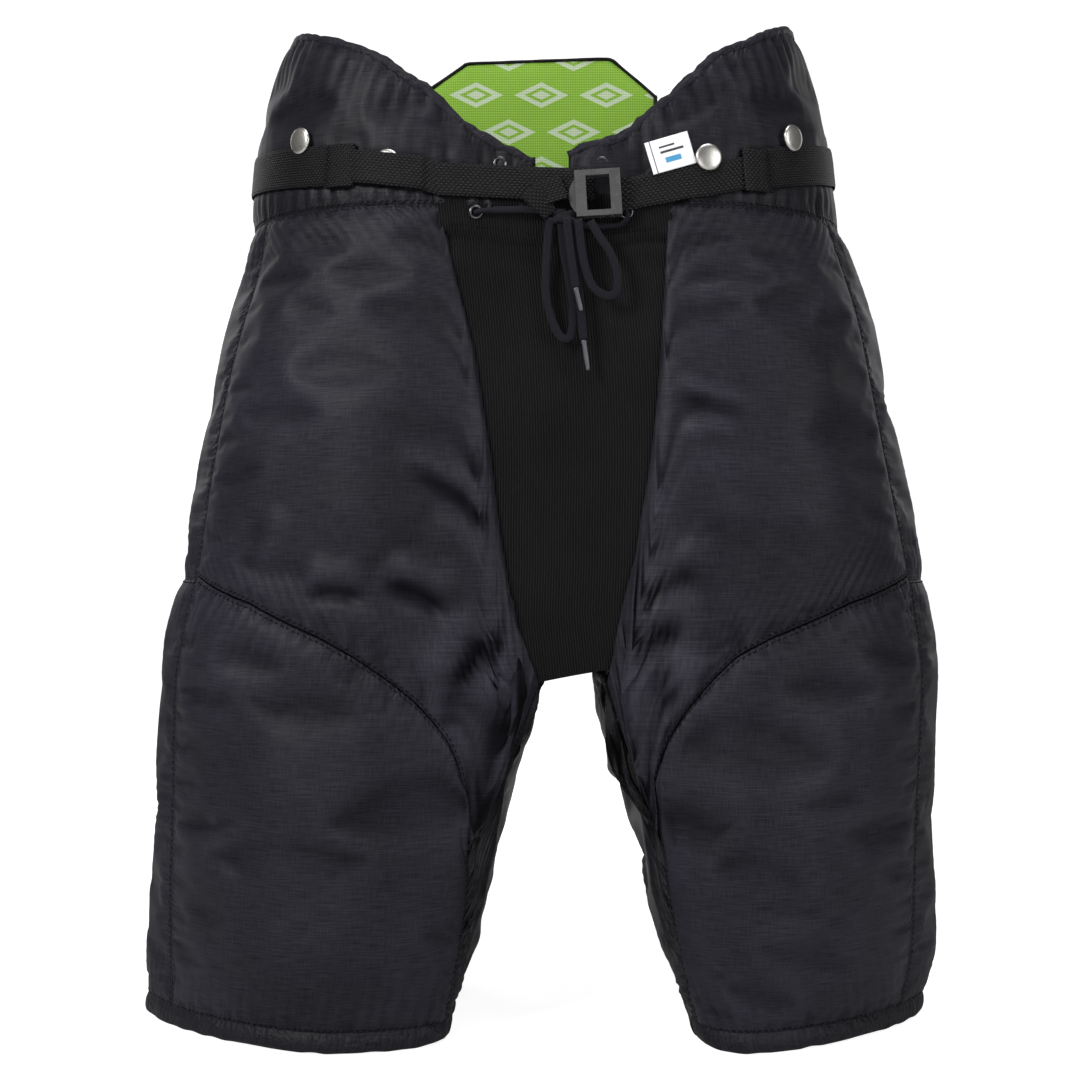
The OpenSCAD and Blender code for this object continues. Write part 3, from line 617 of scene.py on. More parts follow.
def sew(group, line, normal, step=0.0042, length=0.0026, width=0.0007, rise=0.0002):
    """Adds stitches, along a line that lies on a surface, to the group that moves together."""
    d = arc(line)
    centres = np.arange(step / 2, d[-1] - step / 2, step)
    at = lambda k, v: np.stack([np.interp(k, d, v[:, i]) for i in range(3)], -1)
    p, q, n = at(centres - length / 2, line), at(centres + length / 2, line), unit(at(centres, normal))
    w, mid = np.cross(unit(q - p), n) * width / 2, (p + q) / 2
    lift, sink = n * (rise + width * 0.5), n * -0.0006
    verts = np.stack([p + w + sink, p - w + sink, mid + w * 1.1 + lift, mid - w * 1.1 + lift,
                      q + w + sink, q - w + sink, mid + w + sink, mid - w + sink], 1)
    block = np.array([[0, 1, 3, 2], [2, 3, 5, 4], [0, 2, 4, 6], [1, 7, 5, 3], [0, 6, 7, 1], [6, 4, 5, 7]])
    faces = (block + 8 * np.arange(len(p))[:, None, None]).reshape(-1, 4)
    STITCHES.setdefault(group, []).append((verts.reshape(-1, 3), faces))


# ------------------------------------------------------------------ what each piece follows and stands for
HIP = {"left": ((0, 0, 0.233), (-0.062, 0, 0.171)), "right": ((0, 0, 0.199), (0.057, 0, 0.142))}
WING = (0, 0, 0.601), (0, 0, 0.630)
TILT = (0, 0.12, 0.592), (0, 0.12, 0.606)


def place(obj, group):
    """Blends a piece over its hip, wing or spine pad, or lets it ride one body."""
    kind, _, side = group.partition("_")
    if kind == "hip":
        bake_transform(obj, "torso", side + "_leg", *HIP[side])
    elif kind == "wing":
        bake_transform(obj, "torso", side + "_wing", *WING)
    elif kind == "tilt":
        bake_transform(obj, "torso", "spine_pad", *TILT)
    else:
        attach(obj, group)


def settle(obj, group, nodes):
    """Says which body a piece follows and hides the CAD parts that it stands for."""
    place(obj, group)
    if nodes:
        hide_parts(*nodes)
    return obj


# ------------------------------------------------------------------ soft panels
# tone sets the strength of a panel's painted fold shade and highlight
PLAIN = {"edge_in": 0.8, "puff": 1.6, "reach": 0.014, "strokes": (), "wrinkles": (), "gathers": (), "stitched": (),
         "pitch": 0.0075, "pucker": 0.7, "tone": 1, "slot": "nylon_shell", "slack": 0.012, "pressure": 2.5,
         "cap": 0.0035, "cinch": False, "inside": None}
CLOTH = {"quality": 6, "mass": 0.25, "tension_stiffness": 25, "compression_stiffness": 25, "shear_stiffness": 12,
         "bending_stiffness": 9, "air_damping": 4, "vertex_group_mass": "pin", "pin_stiffness": 2,
         "use_pressure": True}
CLOTH_FRAMES = 20
SHELL_THICK = 0.0016
SHELLS = []


def drape(panels):
    """Puffs the panels out against their pinned edges with one cloth simulation."""
    scene = bpy.context.scene
    trial = []
    for panel in panels:
        rows, cols = panel["pts"].shape[:2]
        obj = grid_object("drape_" + panel["name"], panel["pts"], np.zeros((rows, cols, 2)), None,
                          flip=panel["flip"])
        group = obj.vertex_groups.new(name="pin")
        j, i = np.meshgrid(np.arange(rows), np.arange(cols), indexing="ij")
        inward = np.minimum(np.minimum(j, rows - 1 - j), np.minimum(i, cols - 1 - i))
        for depth, weight in ((0, 1.0), (1, 0.35)):
            group.add((j * cols + i)[inward == depth].tolist(), weight, "REPLACE")
        mod = obj.modifiers.new("cloth", "CLOTH")
        for key, value in CLOTH.items():
            setattr(mod.settings, key, value)
        mod.settings.uniform_pressure_force = panel["pressure"]
        mod.settings.shrink_min = -panel["slack"]
        mod.settings.effector_weights.gravity = 0
        mod.point_cache.frame_start, mod.point_cache.frame_end = 1, CLOTH_FRAMES
        trial.append(obj)
    for k in range(1, CLOTH_FRAMES + 1):
        scene.frame_set(k)
    graph = bpy.context.evaluated_depsgraph_get()
    for panel, obj in zip(panels, trial):
        mesh = obj.evaluated_get(graph).to_mesh()
        co = np.zeros(len(mesh.vertices) * 3)
        mesh.vertices.foreach_get("co", co)
        move = co.reshape(panel["pts"].shape) - panel["pts"]
        size = np.linalg.norm(move, axis=-1, keepdims=True)
        panel["pts"] = panel["pts"] + move * (panel["cap"] * np.tanh(size / panel["cap"]) / np.maximum(size, 1e-9))
    for obj in trial:
        bpy.data.objects.remove(obj, do_unlink=True)
    scene.frame_set(1)


def stroke(p, x0, z0, x1, z1, width, depth, bow=0.0):
    """A fold pressed along a line seen from the front, in mm: positive depth stands out."""
    a, b = np.array([x0, z0]) * MM, np.array([x1, z1]) * MM
    q = p[..., (0, 2)]
    d = b - a
    t = ((q - a) @ d) / (d @ d)
    across = np.array([-d[1], d[0]]) / np.linalg.norm(d)
    off = (q - a) @ across - bow * MM * 4 * t * (1 - t)
    ends = np.clip(t * 3, 0, 1) * np.clip((1 - t) * 3, 0, 1)
    return depth * MM * ends * ends * (3 - 2 * ends) * np.exp(-(off / (width * MM)) ** 2)


def along_line(run, *rest):
    """Points for noise along a line: its run, with other coordinates to tell one line from another."""
    return np.stack([run] + [run * 0 + v for v in (rest or (0, 0))], -1)


def puckers(pts, edges, pitch, depth, seed, reach=0.011):
    """Small gathers along sewn edges."""
    dist = edge_distance(pts)
    out = np.zeros(pts.shape[:2])
    for k, edge in enumerate(edges):
        run = dist["left"] if edge in ("foot", "head") else dist["foot"]
        phase = noise(along_line(run), 0.03, seed + k) * 2.2
        size = 0.55 + 0.45 * noise(along_line(run, 1, 0), 0.02, seed + k + 7)
        d = dist[edge] / reach
        out += depth * MM * size * np.cos(2 * math.pi * run / pitch + phase) * d * np.exp(1 - d)
    return out


def add_shell(name, s, u0, u1, foot, head, mat, nodes, group, lean=None, lean_last=None, **look_of):
    """Queues a shell panel; all are draped together, then finished one by one."""
    uu, zz = panel_places(s, u0, u1, foot, head, lean, lean_last)
    panel = {**PLAIN, **look_of, "name": name, "s": s, "places": finer(uu[..., None])[..., 0], "mat": mat,
             "nodes": nodes, "group": group, "flip": s == LEFT}
    depth = seam_profile(shape(s, uu, zz), panel["edge_in"], panel["puff"], panel["reach"])
    SHELLS.append({**panel, "pts": shape(s, uu, zz, depth)})


def finish_shell(panel):
    """Folds, cinches and gathers a draped panel, gives it thickness and sews its edges."""
    s = panel["s"]
    pts = finer(panel["pts"])
    n = normals(pts, flip=panel["flip"])
    calm = 1 - np.exp(-rim_distance(pts) / 0.012)
    push = sum((stroke(pts, *k) for k in panel["strokes"]), np.zeros(pts.shape[:2]))
    for scale, depth, seed in panel["wrinkles"]:
        push += depth * MM * calm * noise(pts, scale, seed)
    push = push * calm
    if panel["cinch"]:
        push -= 0.0024 * np.exp(-((pts[..., 2] - belt_z(s, panel["places"]) * MM) / 0.0115) ** 4)
    push += puckers(pts, panel["gathers"], panel["pitch"], panel["pucker"], panel["seed"])
    pts = pts + n * push[..., None]
    n = normals(pts, flip=panel["flip"])
    grain = np.linspace(panel["places"].min(), panel["places"].max(), 400)
    round_it = arc(shape(s, grain, float(pts[..., 2].mean() / MM)))
    uv = np.stack([np.interp(panel["places"], grain, round_it), pts[..., 2]], -1)
    obj = closed_sheet(panel["name"], pts, pts - n * SHELL_THICK, panel["mat"], panel["flip"], uv)
    seam_layer(obj, pts, n, panel)
    if panel["inside"]:
        obj.data.materials.append(panel["inside"])
        first = (pts.shape[0] - 1) * (pts.shape[1] - 1)
        for poly in obj.data.polygons[first:2 * first]:
            poly.material_index = 1
    for edge, row in (("foot", np.s_[1]), ("head", np.s_[-2]), ("left", np.s_[:, 1]), ("right", np.s_[:, -2])):
        if edge in panel["stitched"]:
            sew(panel["group"], pts[row], n[row])
    panel["final"], panel["normal"] = pts, n
    return settle(obj, panel["group"], panel["nodes"])


def blurred(pts, reach):
    """The grid with each point moved to the mean of its neighbours, reach cells either way."""
    for axis in (0, 1):
        pad_by = [(reach, reach) if k == axis else (0, 0) for k in range(3)]
        total = np.cumsum(np.pad(pts, pad_by, "reflect", reflect_type="odd"), axis=axis)
        total = np.concatenate([np.zeros_like(total.take([0], axis)), total], axis)
        n, span = pts.shape[axis], 2 * reach + 1
        pts = (total.take(range(span, span + n), axis) - total.take(range(n), axis)) / span
    return pts


def corner_map(obj, name, values):
    """Adds a UV map whose values are given per point of one face of a closed sheet."""
    values = np.stack(values, -1).reshape(-1, 2).astype(np.float32)
    corner = np.zeros(len(obj.data.loops), int)
    obj.data.loops.foreach_get("vertex_index", corner)
    layer = obj.data.uv_layers.new(name=name)
    layer.data.foreach_set("uv", values[corner % len(values)].ravel())
    obj.data.uv_layers.active_index = 0


def seam_layer(obj, pts, n, panel):
    """UV maps with each point's run along its nearest sewn edge and distance from it, and its painted fold shade:
    darker in a crease, lighter on a ridge.
    """
    # painted shade and highlight: how far each point stands proud of its neighbours, made into a factor that darkens
    # creases and lightens ridges; the panel's tone sets its strength
    proud = sum(((pts - blurred(pts, reach)) * n).sum(-1) / (reach * share)
                for reach, share in ((3, 0.0011), (6, 0.0017)))
    tone = panel["tone"] * np.where(proud < 0, 0.8, 0.75) * np.tanh(proud)
    corner_map(obj, "Fold", (tone, tone))
    dist = edge_distance(pts)
    sewn = sorted({*panel["stitched"], *panel["gathers"]})
    away = np.stack([dist[e] for e in sewn])
    runs = np.stack([dist["left"] if e in ("foot", "head") else dist["foot"] for e in sewn])
    near = away.argmin(0)[None]
    corner_map(obj, "Seam", [np.take_along_axis(v, near, 0)[0] for v in (runs, away)])


def edge_of(points):
    """A curve of height against the place round the shape."""
    xs, ys = zip(*points)
    return lambda u: np.interp(u, xs, ys)


BELT = {LEFT: [(-1, 550), (-0.6, 551), (0, 554), (1, 556.5), (1.12, 560), (1.24, 564), (1.44, 567), (1.7, 572),
               (2, 578), (3, 586), (4, 589)],
        RIGHT: [(-1, 546), (0, 549), (1, 550.5), (1.1, 553), (1.2, 558), (1.36, 565), (1.6, 574), (1.9, 583),
                (2, 584.5), (3, 588), (4, 589)]}
BELT_RIDE = edge_of([(0.9, 0), (1.04, 3.0), (1.2, 3.0), (1.32, 0)])
BELT_W, BELT_T = 21, 1.6
BELT_LIFT = 3.2


def belt_z(s, u):
    """Height of the belt's middle at places u, in mm."""
    return look(u, BELT[s], 0.1)


# ------------------------------------------------------------------ the lace and its knot
LACE_W, LACE_T = 0.0052, 0.0019
BACK_Y, MID_Y, FRONT_Y = -130.4, -133.0, -135.6
AHEAD = np.array([0, -1.0, 0])
LOOPS = {"left": (BACK_Y, [(5, 528), (3.5, 511), (2.5, 492), (3, 478), (6, 466), (10, 456.5), (14.5, 453),
                           (18.5, 456.5), (19.6, 470), (17.8, 487), (14, 506), (12, 528)]),
         "right": (FRONT_Y, [(22.6, 526), (25, 506), (28, 493), (32, 484), (38, 479.6), (43, 479), (46.6, 482.5),
                             (46.4, 494), (42, 506), (35.4, 516), (30, 525)])}
ENDS = {"short": (FRONT_Y, [(15.4, 527), (17.4, 510), (19.6, 494), (21, 484)], (24.6, 469.5)),
        "long": (MID_Y, [(18.4, 527), (20.6, 508), (22.6, 488), (24.4, 470), (26, 452)], (28.8, 433))}


def free_lace(name, y, points, tip=None):
    """A free stretch of the lace, lying at depth y; tip is where the aglet on it ends, if it has one."""
    path = curve_through([(x, y, z) for x, z in points], 10)
    obj = tube(name + "_cord", path, LACE_W, LACE_T, AHEAD, MAT["lace"], 16)
    settle(obj, "torso", [name])
    tips = [aglet(name.replace("lace_end", "aglet"), y, points[-1], tip)] if tip else []


def aglet(name, y, start, end):
    """A clear plastic tip crimped on the lace, with the lace end inside it."""
    a, b = (np.array([x, y, z]) * MM for x, z in (start, end))
    t = np.linspace(0, 1, 40)
    path = a + (b - a) * (t * 0.98 + 0.02)[:, None]
    swell = 0.0030 + 0.0006 * np.exp(-((t - 0.06) / 0.05) ** 2) - 0.0008 * t ** 8
    swell[-1] *= 0.55
    obj = tube(name + "_tip", path, swell, swell * 0.86, AHEAD, MAT["aglet"], 20, 0.9)
    return settle(obj, "torso", [name])


def lace_inside():
    """The part of the lace that runs from the knot through the low eyelets behind the fly, and the knot."""
    points = [(15, -129, 531.5), (-8, -128, 533.4), (-26, -127, 533.6), (-37, -126, 533.2), (-40.4, -124.6, 533),
              (-41, -122.4, 533), (-41, -120.4, 533), (-40, -118, 533), (-34, -116.6, 533.4), (-15, -116.4, 534),
              (6, -116.4, 534), (30, -116.4, 534), (46, -116.6, 533.4), (52, -118, 533), (53, -120.4, 533),
              (53, -122.4, 533), (53.6, -124.6, 532.2), (53.2, -126, 528), (47, -126.4, 524.2),
              (34, -127, 523.4), (23, -128.4, 524.6), (16.6, -129, 529.6)]
    path = curve_through(points, 6)
    flatter = np.where((path[:, 0] > -0.030) & (path[:, 0] < 0.040), 1.5, 1.05)
    thin = 0.0030 / flatter ** 0.6
    pieces = [tube("lace_run", path, 0.0030 * flatter, thin, (0.3, -1.0, 0.35), MAT["lace"], 14)]
    a = np.linspace(0, 2 * math.pi, 40)
    outward = unit(np.stack([np.cos(a), np.sin(a) * 1.4, a * 0 + 0.05], -1))
    for x, y, z, r, tilt in ((13.4, -130.4, 528.4, 3.9, 0.35), (15.8, -131.2, 526.2, 4.2, -0.3)):
        ring = np.stack([x + 5.6 * np.cos(a), y + r * 0.62 * np.sin(a), z + tilt * 5 * np.cos(a)], -1) * MM
        pieces.append(tube("lace_wrap", ring, 0.0050, 0.0020, outward, MAT["lace"], 12))
    settle(joined("lace_knot_and_run", pieces), "torso", ["lace_threaded"])


for side, (y, points) in LOOPS.items():
    free_lace("lace_loop_" + side, y, points)
for kind, (y, points, tip) in ENDS.items():
    free_lace("lace_end_" + kind, y, points, tip)
lace_inside()


# ------------------------------------------------------------------ shell panels
THIGH_LINE = [(0.36, 130), (0.45, 165), (0.6, 200), (0.75, 224), (0.9, 244), (1.1, 266), (1.35, 287), (1.7, 306)]
THIGH_SEAM = edge_of(THIGH_LINE)
FRONT_FOOT = edge_of([(0, 241)] + [(u, z + 1) for u, z in THIGH_LINE])
GUSSET_TOP = edge_of([(3.5, 304), (3.75, 268), (3.9, 246), (4, 241), (5.0, 243), (5.36, 134)])
WING_BACK = [(2.25, 658), (2.45, 637), (2.6, 611), (2.75, 599), (3, 595), (4, 594)]
WING_TOP = {
    LEFT: edge_of([(-0.63, 566), (-0.5, 571), (-0.45, 574), (-0.34, 579), (-0.23, 586), (-0.13, 595), (-0.03, 604),
                   (0.5, 610), (1, 613), (1.06, 619.5), (1.105, 625.5), (1.16, 632), (1.23, 639), (1.31, 644),
                   (1.4, 649.5), (1.5, 655), (1.62, 660.5), (1.75, 664), (2, 665)] + WING_BACK),
    RIGHT: edge_of([(-0.63, 570), (-0.59, 572.5), (-0.48, 577), (-0.37, 579), (-0.285, 582), (-0.184, 590.5),
                    (-0.115, 598.5), (-0.05, 603.5), (0.5, 607), (1, 613), (1.05, 618), (1.1, 627), (1.15, 634),
                    (1.2, 638), (1.3, 644.5), (1.43, 654), (1.52, 660), (1.67, 668), (1.8, 670.5), (1.95, 670),
                    (2.1, 666)] + WING_BACK)}
BAND_FOOT = edge_of([(-0.63, 531), (-0.13, 538), (4, 538)])
level = lambda z: (lambda u: np.full_like(np.asarray(u, float), z))
LEG_EDGE = {LEFT: edge_of([(12, -0.25), (50, -0.17), (100, -0.09), (130, 0)]),
            RIGHT: edge_of([(12, -0.12), (50, -0.09), (100, -0.05), (130, 0)])}
SIDE_SEAM = 1.66
WAIST_SEAM = 539
SEAT_FOOT = 301
HEM_TOP = 12.5
DRAG = {  # folds of the front panels in mm: from (x, z) to (x, z), width, how proud, bow
    LEFT: [(-24, 338, -86, 374, 6, -4.5), (-26, 352, -96, 389, 11, 3.6), (-30, 322, -74, 344, 11, 2.4),
           (-152, 293, -106, 290, 6, -5.5, 3), (-154, 305, -104, 303, 10, 3.6, 3), (-104, 301, -56, 277, 6.5, -6.5, 5),
           (-104, 316, -48, 290, 11, 4.5, 5), (-24, 284, -58, 228, 7, -6.5, 3), (-14, 280, -46, 218, 11, 5.0, 3),
           (-40, 290, -76, 238, 12, 4.0, 3), (-8, 262, -30, 200, 7, -3.0), (-112, 460, -118, 300, 30, 5.0),
           (-170, 345, -196, 300, 9, -2.0), (-160, 352, -184, 306, 10, 2.0),
           (-70, 520, -96, 470, 14, 1.2), (-150, 500, -190, 440, 16, 1.3), (-120, 480, -210, 330, 24, 1.4)],
    RIGHT: [(52, 270, 90, 262, 7, -5.5, 3), (50, 284, 104, 284, 11, 4.0, 4), (72, 254, 88, 212, 7, -5.0, -3),
            (86, 262, 104, 220, 11, 4.5, -3), (52, 246, 66, 196, 9, 3.0), (58, 306, 112, 330, 10, 3.0),
            (60, 292, 100, 306, 6, -2.5), (80, 429, 132, 415, 5, 2.4, -2), (84, 417, 130, 406, 4, -2.0, -2),
            (80, 398, 126, 396, 6, 2.2), (84, 470, 150, 506, 11, 2.6), (92, 352, 200, 338, 12, 2.0),
            (86, 382, 170, 360, 14, 2.0), (168, 470, 182, 300, 28, 3.5),
            (96, 520, 140, 470, 14, 1.2), (120, 470, 220, 400, 18, 1.5), (150, 500, 190, 470, 10, 1.0)]}


def queue_shells(s):
    name = SIDE[s]
    hip, seams = "hip_" + name, ("left", "right", "head", "foot")
    thigh = [(s * 156, 240, s * 150, 10, 38, 9.5), (s * 190, 262, s * 232, 200, 14, 1.6),
             (s * 112, 226, s * 122, 150, 14, 1.6), (s * 214, 140, s * 190, 30, 18, 1.6)]
    fly = [(s * 40, 575, s * 60, 560, 8, 1.0), (s * 62, 600, s * 60, 540, 3, -1.6),
           (s * 118, 612, s * 114, 560, 3.5, -0.9)]
    add_shell("front_shell_" + name, s, 0.02, SIDE_SEAM, FRONT_FOOT, level(WAIST_SEAM), MAT["shell"],
              ["front_panel_" + name], hip, strokes=DRAG[s], stitched=("foot",), gathers=("foot", "head"),
              pitch=0.010, reach=0.012, seed=5 + s,
              wrinkles=(((0.07, 0.1, 0.12), 1.3, 1), ((0.05, 0.03, 0.02), 0.15, 2)))
    # tone=0.4: a weaker painted fold shade and highlight on the seat panel
    add_shell("seat_shell_" + name, s, SIDE_SEAM, 4.0, level(SEAT_FOOT), level(WAIST_SEAM), MAT["shell"],
              ["seat_panel_" + name], hip, stitched=("left",), gathers=("left", "head", "foot"), tone=0.4,
              wrinkles=(((0.06, 0.06, 0.07), 1.3, 3), ((0.05, 0.03, 0.016), 0.2, 4)), seed=9 + s)
    add_shell("thigh_shell_" + name, s, 0.37, SIDE_SEAM, level(HEM_TOP), THIGH_SEAM, MAT["shell"],
              ["thigh_panel_" + name], hip, lean=LEG_EDGE[s], stitched=("head", "left", "foot"),
              gathers=("head", "right", "foot"), pucker=0.6, strokes=thigh, puff=1.8, pitch=0.009, seed=13 + s,
              wrinkles=(((0.07, 0.09, 0.12), 1.2, 5), ((0.04, 0.03, 0.018), 0.15, 6)))
    # tone=0.4: a weaker painted fold shade and highlight on the leg-back panel
    add_shell("leg_back_shell_" + name, s, SIDE_SEAM, 3.5, level(HEM_TOP), level(SEAT_FOOT + 1), MAT["shell"],
              ["leg_back_panel_" + name], hip, stitched=("left", "head", "foot"), gathers=seams, tone=0.4,
              wrinkles=(((0.06, 0.06, 0.06), 1.2, 7), ((0.04, 0.03, 0.016), 0.25, 8)), seed=17 + s)
    add_shell("gusset_shell_" + name, s, 3.5, 5.37, level(HEM_TOP), GUSSET_TOP, MAT["gusset"],
              ["inner_gusset_" + name], hip, lean_last=LEG_EDGE[s], gathers=("left", "right", "head"), pucker=1.1,
              wrinkles=(((0.03, 0.05, 0.024), 2.6, 9), ((0.02, 0.03, 0.010), 0.9, 10)), seed=21 + s,
              edge_in=2.2, puff=1.2, slot="nylon_gusset", slack=0.06, pressure=1.5)
    add_shell("band_shell_" + name, s, -0.63, 4.0, BAND_FOOT, WING_TOP[s], MAT["band"],
              ["fly_tab_" + name, "waistband_" + name, "wing_shell_" + name], "wing_" + name,
              inside=MAT["lining"], gathers=("head", "foot"), pucker=1.0, pitch=0.011, stitched=("foot",),
              puff=2.2, strokes=fly, seed=25 + s, cap=0.0022, cinch=True,
              wrinkles=(((0.05, 0.05, 0.05), 0.9, 11), ((0.03, 0.03, 0.014), 0.2, 12)))


queue_shells(LEFT)
queue_shells(RIGHT)
drape(SHELLS)
SHELL_OBJECTS = {panel["name"]: finish_shell(panel) for panel in SHELLS}


def fold_line(x):
    """How far the edge of the knit's folded top lies above its height at the left, in mm."""
    return -9.5 * np.clip((x + 60) / 75, 0, 1) + 6 * np.clip((x - 20) / 50, 0, 1)


def knit_panel():
    """The knit between the legs: its top folded over on itself, its foot tucked under the crotch."""
    share = np.linspace(0, 1, 100)
    foot, top = 237.5 + 9.5 * share, 545
    rows = []
    for t in np.linspace(0, 1, 150):
        z = foot + (top - foot) * t
        a, b = -look(z, KNIT[LEFT], 0) - 2.5, look(z, KNIT[RIGHT], 0) + 2.5
        x = a + (b - a) * share
        sag = 2.6 + 2.4 * np.sin(math.pi * share) * np.clip((top - z) / 120, 0, 1)
        sag += 7 * np.clip((262 - z) / 26, 0, 1) ** 2
        above = z - 521 - fold_line(x)
        fold = (2.3 / (1 + np.exp(-above / 0.5)) - 2.2 * np.exp(-((above + 2.0) / 2.4) ** 2)
                - 0.7 * np.exp(-((above - 4.2) / 0.8) ** 2))
        ripple = 0.9 * np.sin(above / 4.2 + share * 3) * np.exp(-np.abs(above + 12) / 16)
        rows.append(np.stack([x, -look(z, FRONT) + sag - fold - ripple, z], -1))
    under = [rows[0] + (0, back, up) for back, up in ((14, 2.5), (8, 0.4), (3.5, -0.3))]
    pts = np.array(under + rows) * MM
    pts[..., 1] -= noise(pts, (0.03, 0.05, 0.06), 31) * 0.0008 * np.sin(math.pi * share)
    along, up = lengths(pts)
    uv = np.stack([along - along[:, -1:] / 2 + 0.2, up], -1)
    obj = closed_sheet("knit_panel", pts, pts - normals(pts) * 0.0018, MAT["knit"], uv=uv)
    settle(obj, "torso", ["knit_crotch_panel"])
    line = curve_through([(x, -look(522, FRONT) + 0.35, 526.2 + fold_line(x)) for x in range(-58, 76, 6)], 6)
    sew("torso", line, np.broadcast_to(AHEAD, line.shape), step=0.0032, length=0.0022, width=0.0006, rise=0.0004)


knit_panel()


# ------------------------------------------------------------------ belt, keepers and buckle
def strip(name, s, u0, u1, width, outer_o, thick, mat, lift=lambda u: 0 * u, wobble=0.0, drop=lambda u: 0 * u):
    """A strap lying on the worn shape, its edges rounded; lift raises it off the shape and drop lowers it."""
    z_mid = float(belt_z(s, np.array([(u0 + u1) / 2]))[0])
    total = even_columns(s, u0, u1, z_mid, 10)[1]
    u = even_columns(s, u0, u1, z_mid, max(8, int(total / 0.0022)))[0]
    k = np.linspace(-0.5, 0.5, 13)[:, None]
    z = (belt_z(s, u) - drop(u))[None] + k * width
    raised = (lift(u) + wobble * noise(along_line(u * 0.2), 0.05, 3))[None]
    roll = 1 - np.clip((np.abs(k) - 0.42) / 0.08, 0, 1) ** 2 * 0.55
    mid = outer_o + thick / 2 - raised
    out, inn = (shape(s, u[None], z, mid + side * thick / 2 * roll) for side in (-1, 1))
    return closed_sheet(name, out, inn, mat, s == LEFT)


def ribbon(name, path, width, facing):
    """A free stretch of the belt's webbing."""
    return tube(name, path, width, BELT_T * MM, facing, MAT["webbing"], 20, 0.35)


def belt():
    web = (BELT_W, -BELT_LIFT, BELT_T, MAT["webbing"])
    left = strip("belt_left_webbing", LEFT, -1.0, 1.36, *web, lift=BELT_RIDE, wobble=0.25)
    over = curve_through([(14, -127.6, 548), (9, -128.6, 546.5), (2, -129.8, 544), (-4.5, -130.2, 542)], 10)
    back = curve_through([(-7.5, -131.6, 545), (-3.5, -132.4, 540.5), (1, -132.0, 535.5), (5.5, -130.6, 530)], 10)
    narrower = 0.0145 - 0.004 * np.linspace(0, 1, len(back)) ** 2
    tail = [ribbon("belt_tail", over, 0.0165, (-0.15, -1.0, 0.2)),
            ribbon("belt_tail_end", back, narrower, (0.25, -1.0, 0.15))]
    settle(joined("belt_left_webbing", [left] + tail), "torso", ["belt_left"])
    right = strip("belt_right_webbing", RIGHT, -0.33, 1.38, *web, wobble=0.25,
                  drop=lambda u: 5.6 * np.clip(-u / 0.3, 0, 1) ** 1.3)
    tilt = math.radians(3.5)             # the buckle's, and its loop's, against the ground
    loop = curve_through([(35 + x * math.cos(tilt), y - 132, 543 + x * math.sin(tilt)) for x, y in (
        (20, 6.9), (13, 7.0), (9.6, 6.2), (9.0, 4.6), (9.4, 3.0), (11, 1.9), (14.6, 1.7))], 8)
    turn = ribbon("belt_loop", loop, BELT_W * MM * 0.985,
                  unit(np.cross(unit(np.gradient(loop, axis=0)), (0.06, 0, 1.0))))
    settle(joined("belt_right_webbing", [right, turn]), "torso", ["belt_right"])
    halves = [strip("belt_back_half_" + SIDE[s], s, 2.0, 4.0, *web) for s in SIDE]
    settle(joined("belt_back_webbing", halves), "torso", ["belt_back"])


def keepers(s):
    """A tube of webbing that the belt's end passes through, stitched at its mouth and its tail."""
    body = strip("keeper_outer", s, 1.24, 2.04, 26, -5.2, 1.5, MAT["keeper"], wobble=0.3)
    inner = strip("keeper_inner", s, 1.24, 2.04, 26, -1.7, 1.3, MAT["keeper"])
    cross = [(1.325, -5.9), (1.28, -6.0), (1.238, -5.4), (1.228, -3.6), (1.238, -1.6)]
    z0 = float(belt_z(s, 1.27))
    lip = finer(np.array([[shape(s, u, z0 + k * 27, o) for u, o in cross] for k in np.linspace(-0.5, 0.5, 15)]))
    n = normals(lip, flip=s == LEFT)
    edge = closed_sheet("keeper_lip", lip + n * 0.0005, lip - n * 0.0007, MAT["keeper"], s == LEFT,
                        np.stack(lengths(lip), -1))
    obj = joined("keeper_webbing_" + SIDE[s], [body, inner, edge])
    settle(obj, "torso", ["keeper_" + SIDE[s]])
    for u, z, o in ((1.262, z0, -6.05), (1.318, z0, -6.05), (1.97, float(belt_z(s, 1.97)), -5.3)):
        line = shape(s, u, np.linspace(-11.5, 11.5, 40) + z, o)
        out = line * np.array([1, 1, 0]) - np.array([s * 0.09, 0, 0])
        sew("torso", line, unit(out), step=0.0030, length=0.0020, width=0.0006)


belt()
for s in SIDE:
    keepers(s)
for node, key in (("buckle_frame", "buckle"), ("buckle_lever", "buckle"), ("buckle_pin", "pin"),
                  ("suspender_button_posts", "nickel"), ("tailbone_plate", "guard"), ("spine_pad_plate", "guard")):
    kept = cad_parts[node]
    if not kept.data.materials:
        kept.data.materials.append(None)
    for slot in kept.material_slots:
        slot.link = "OBJECT"
        slot.material = MAT[key]


# ------------------------------------------------------------------ buttons, eyelets and label
def revolve(name, profile, p, axis, mat, sides=64):
    """A turned piece from (radius, height) in mm, standing on a point along an axis."""
    axis = unit(np.asarray(axis, float))
    e1 = unit(np.cross(axis, (0, 0, 1.0)))
    e2 = np.cross(axis, e1)
    a = np.linspace(0, 2 * math.pi, sides, endpoint=False)
    ring = np.cos(a)[:, None] * e1 + np.sin(a)[:, None] * e2
    pts = np.array([np.asarray(p) + (ring * r + axis * h) * MM for r, h in profile])
    uv = np.stack(np.broadcast_arrays(np.linspace(0, 0.05, sides + 1)[None],
                                      np.linspace(0, 0.02, len(profile))[:, None]), -1)
    return grid_object(name, pts, uv, mat, ring=True)


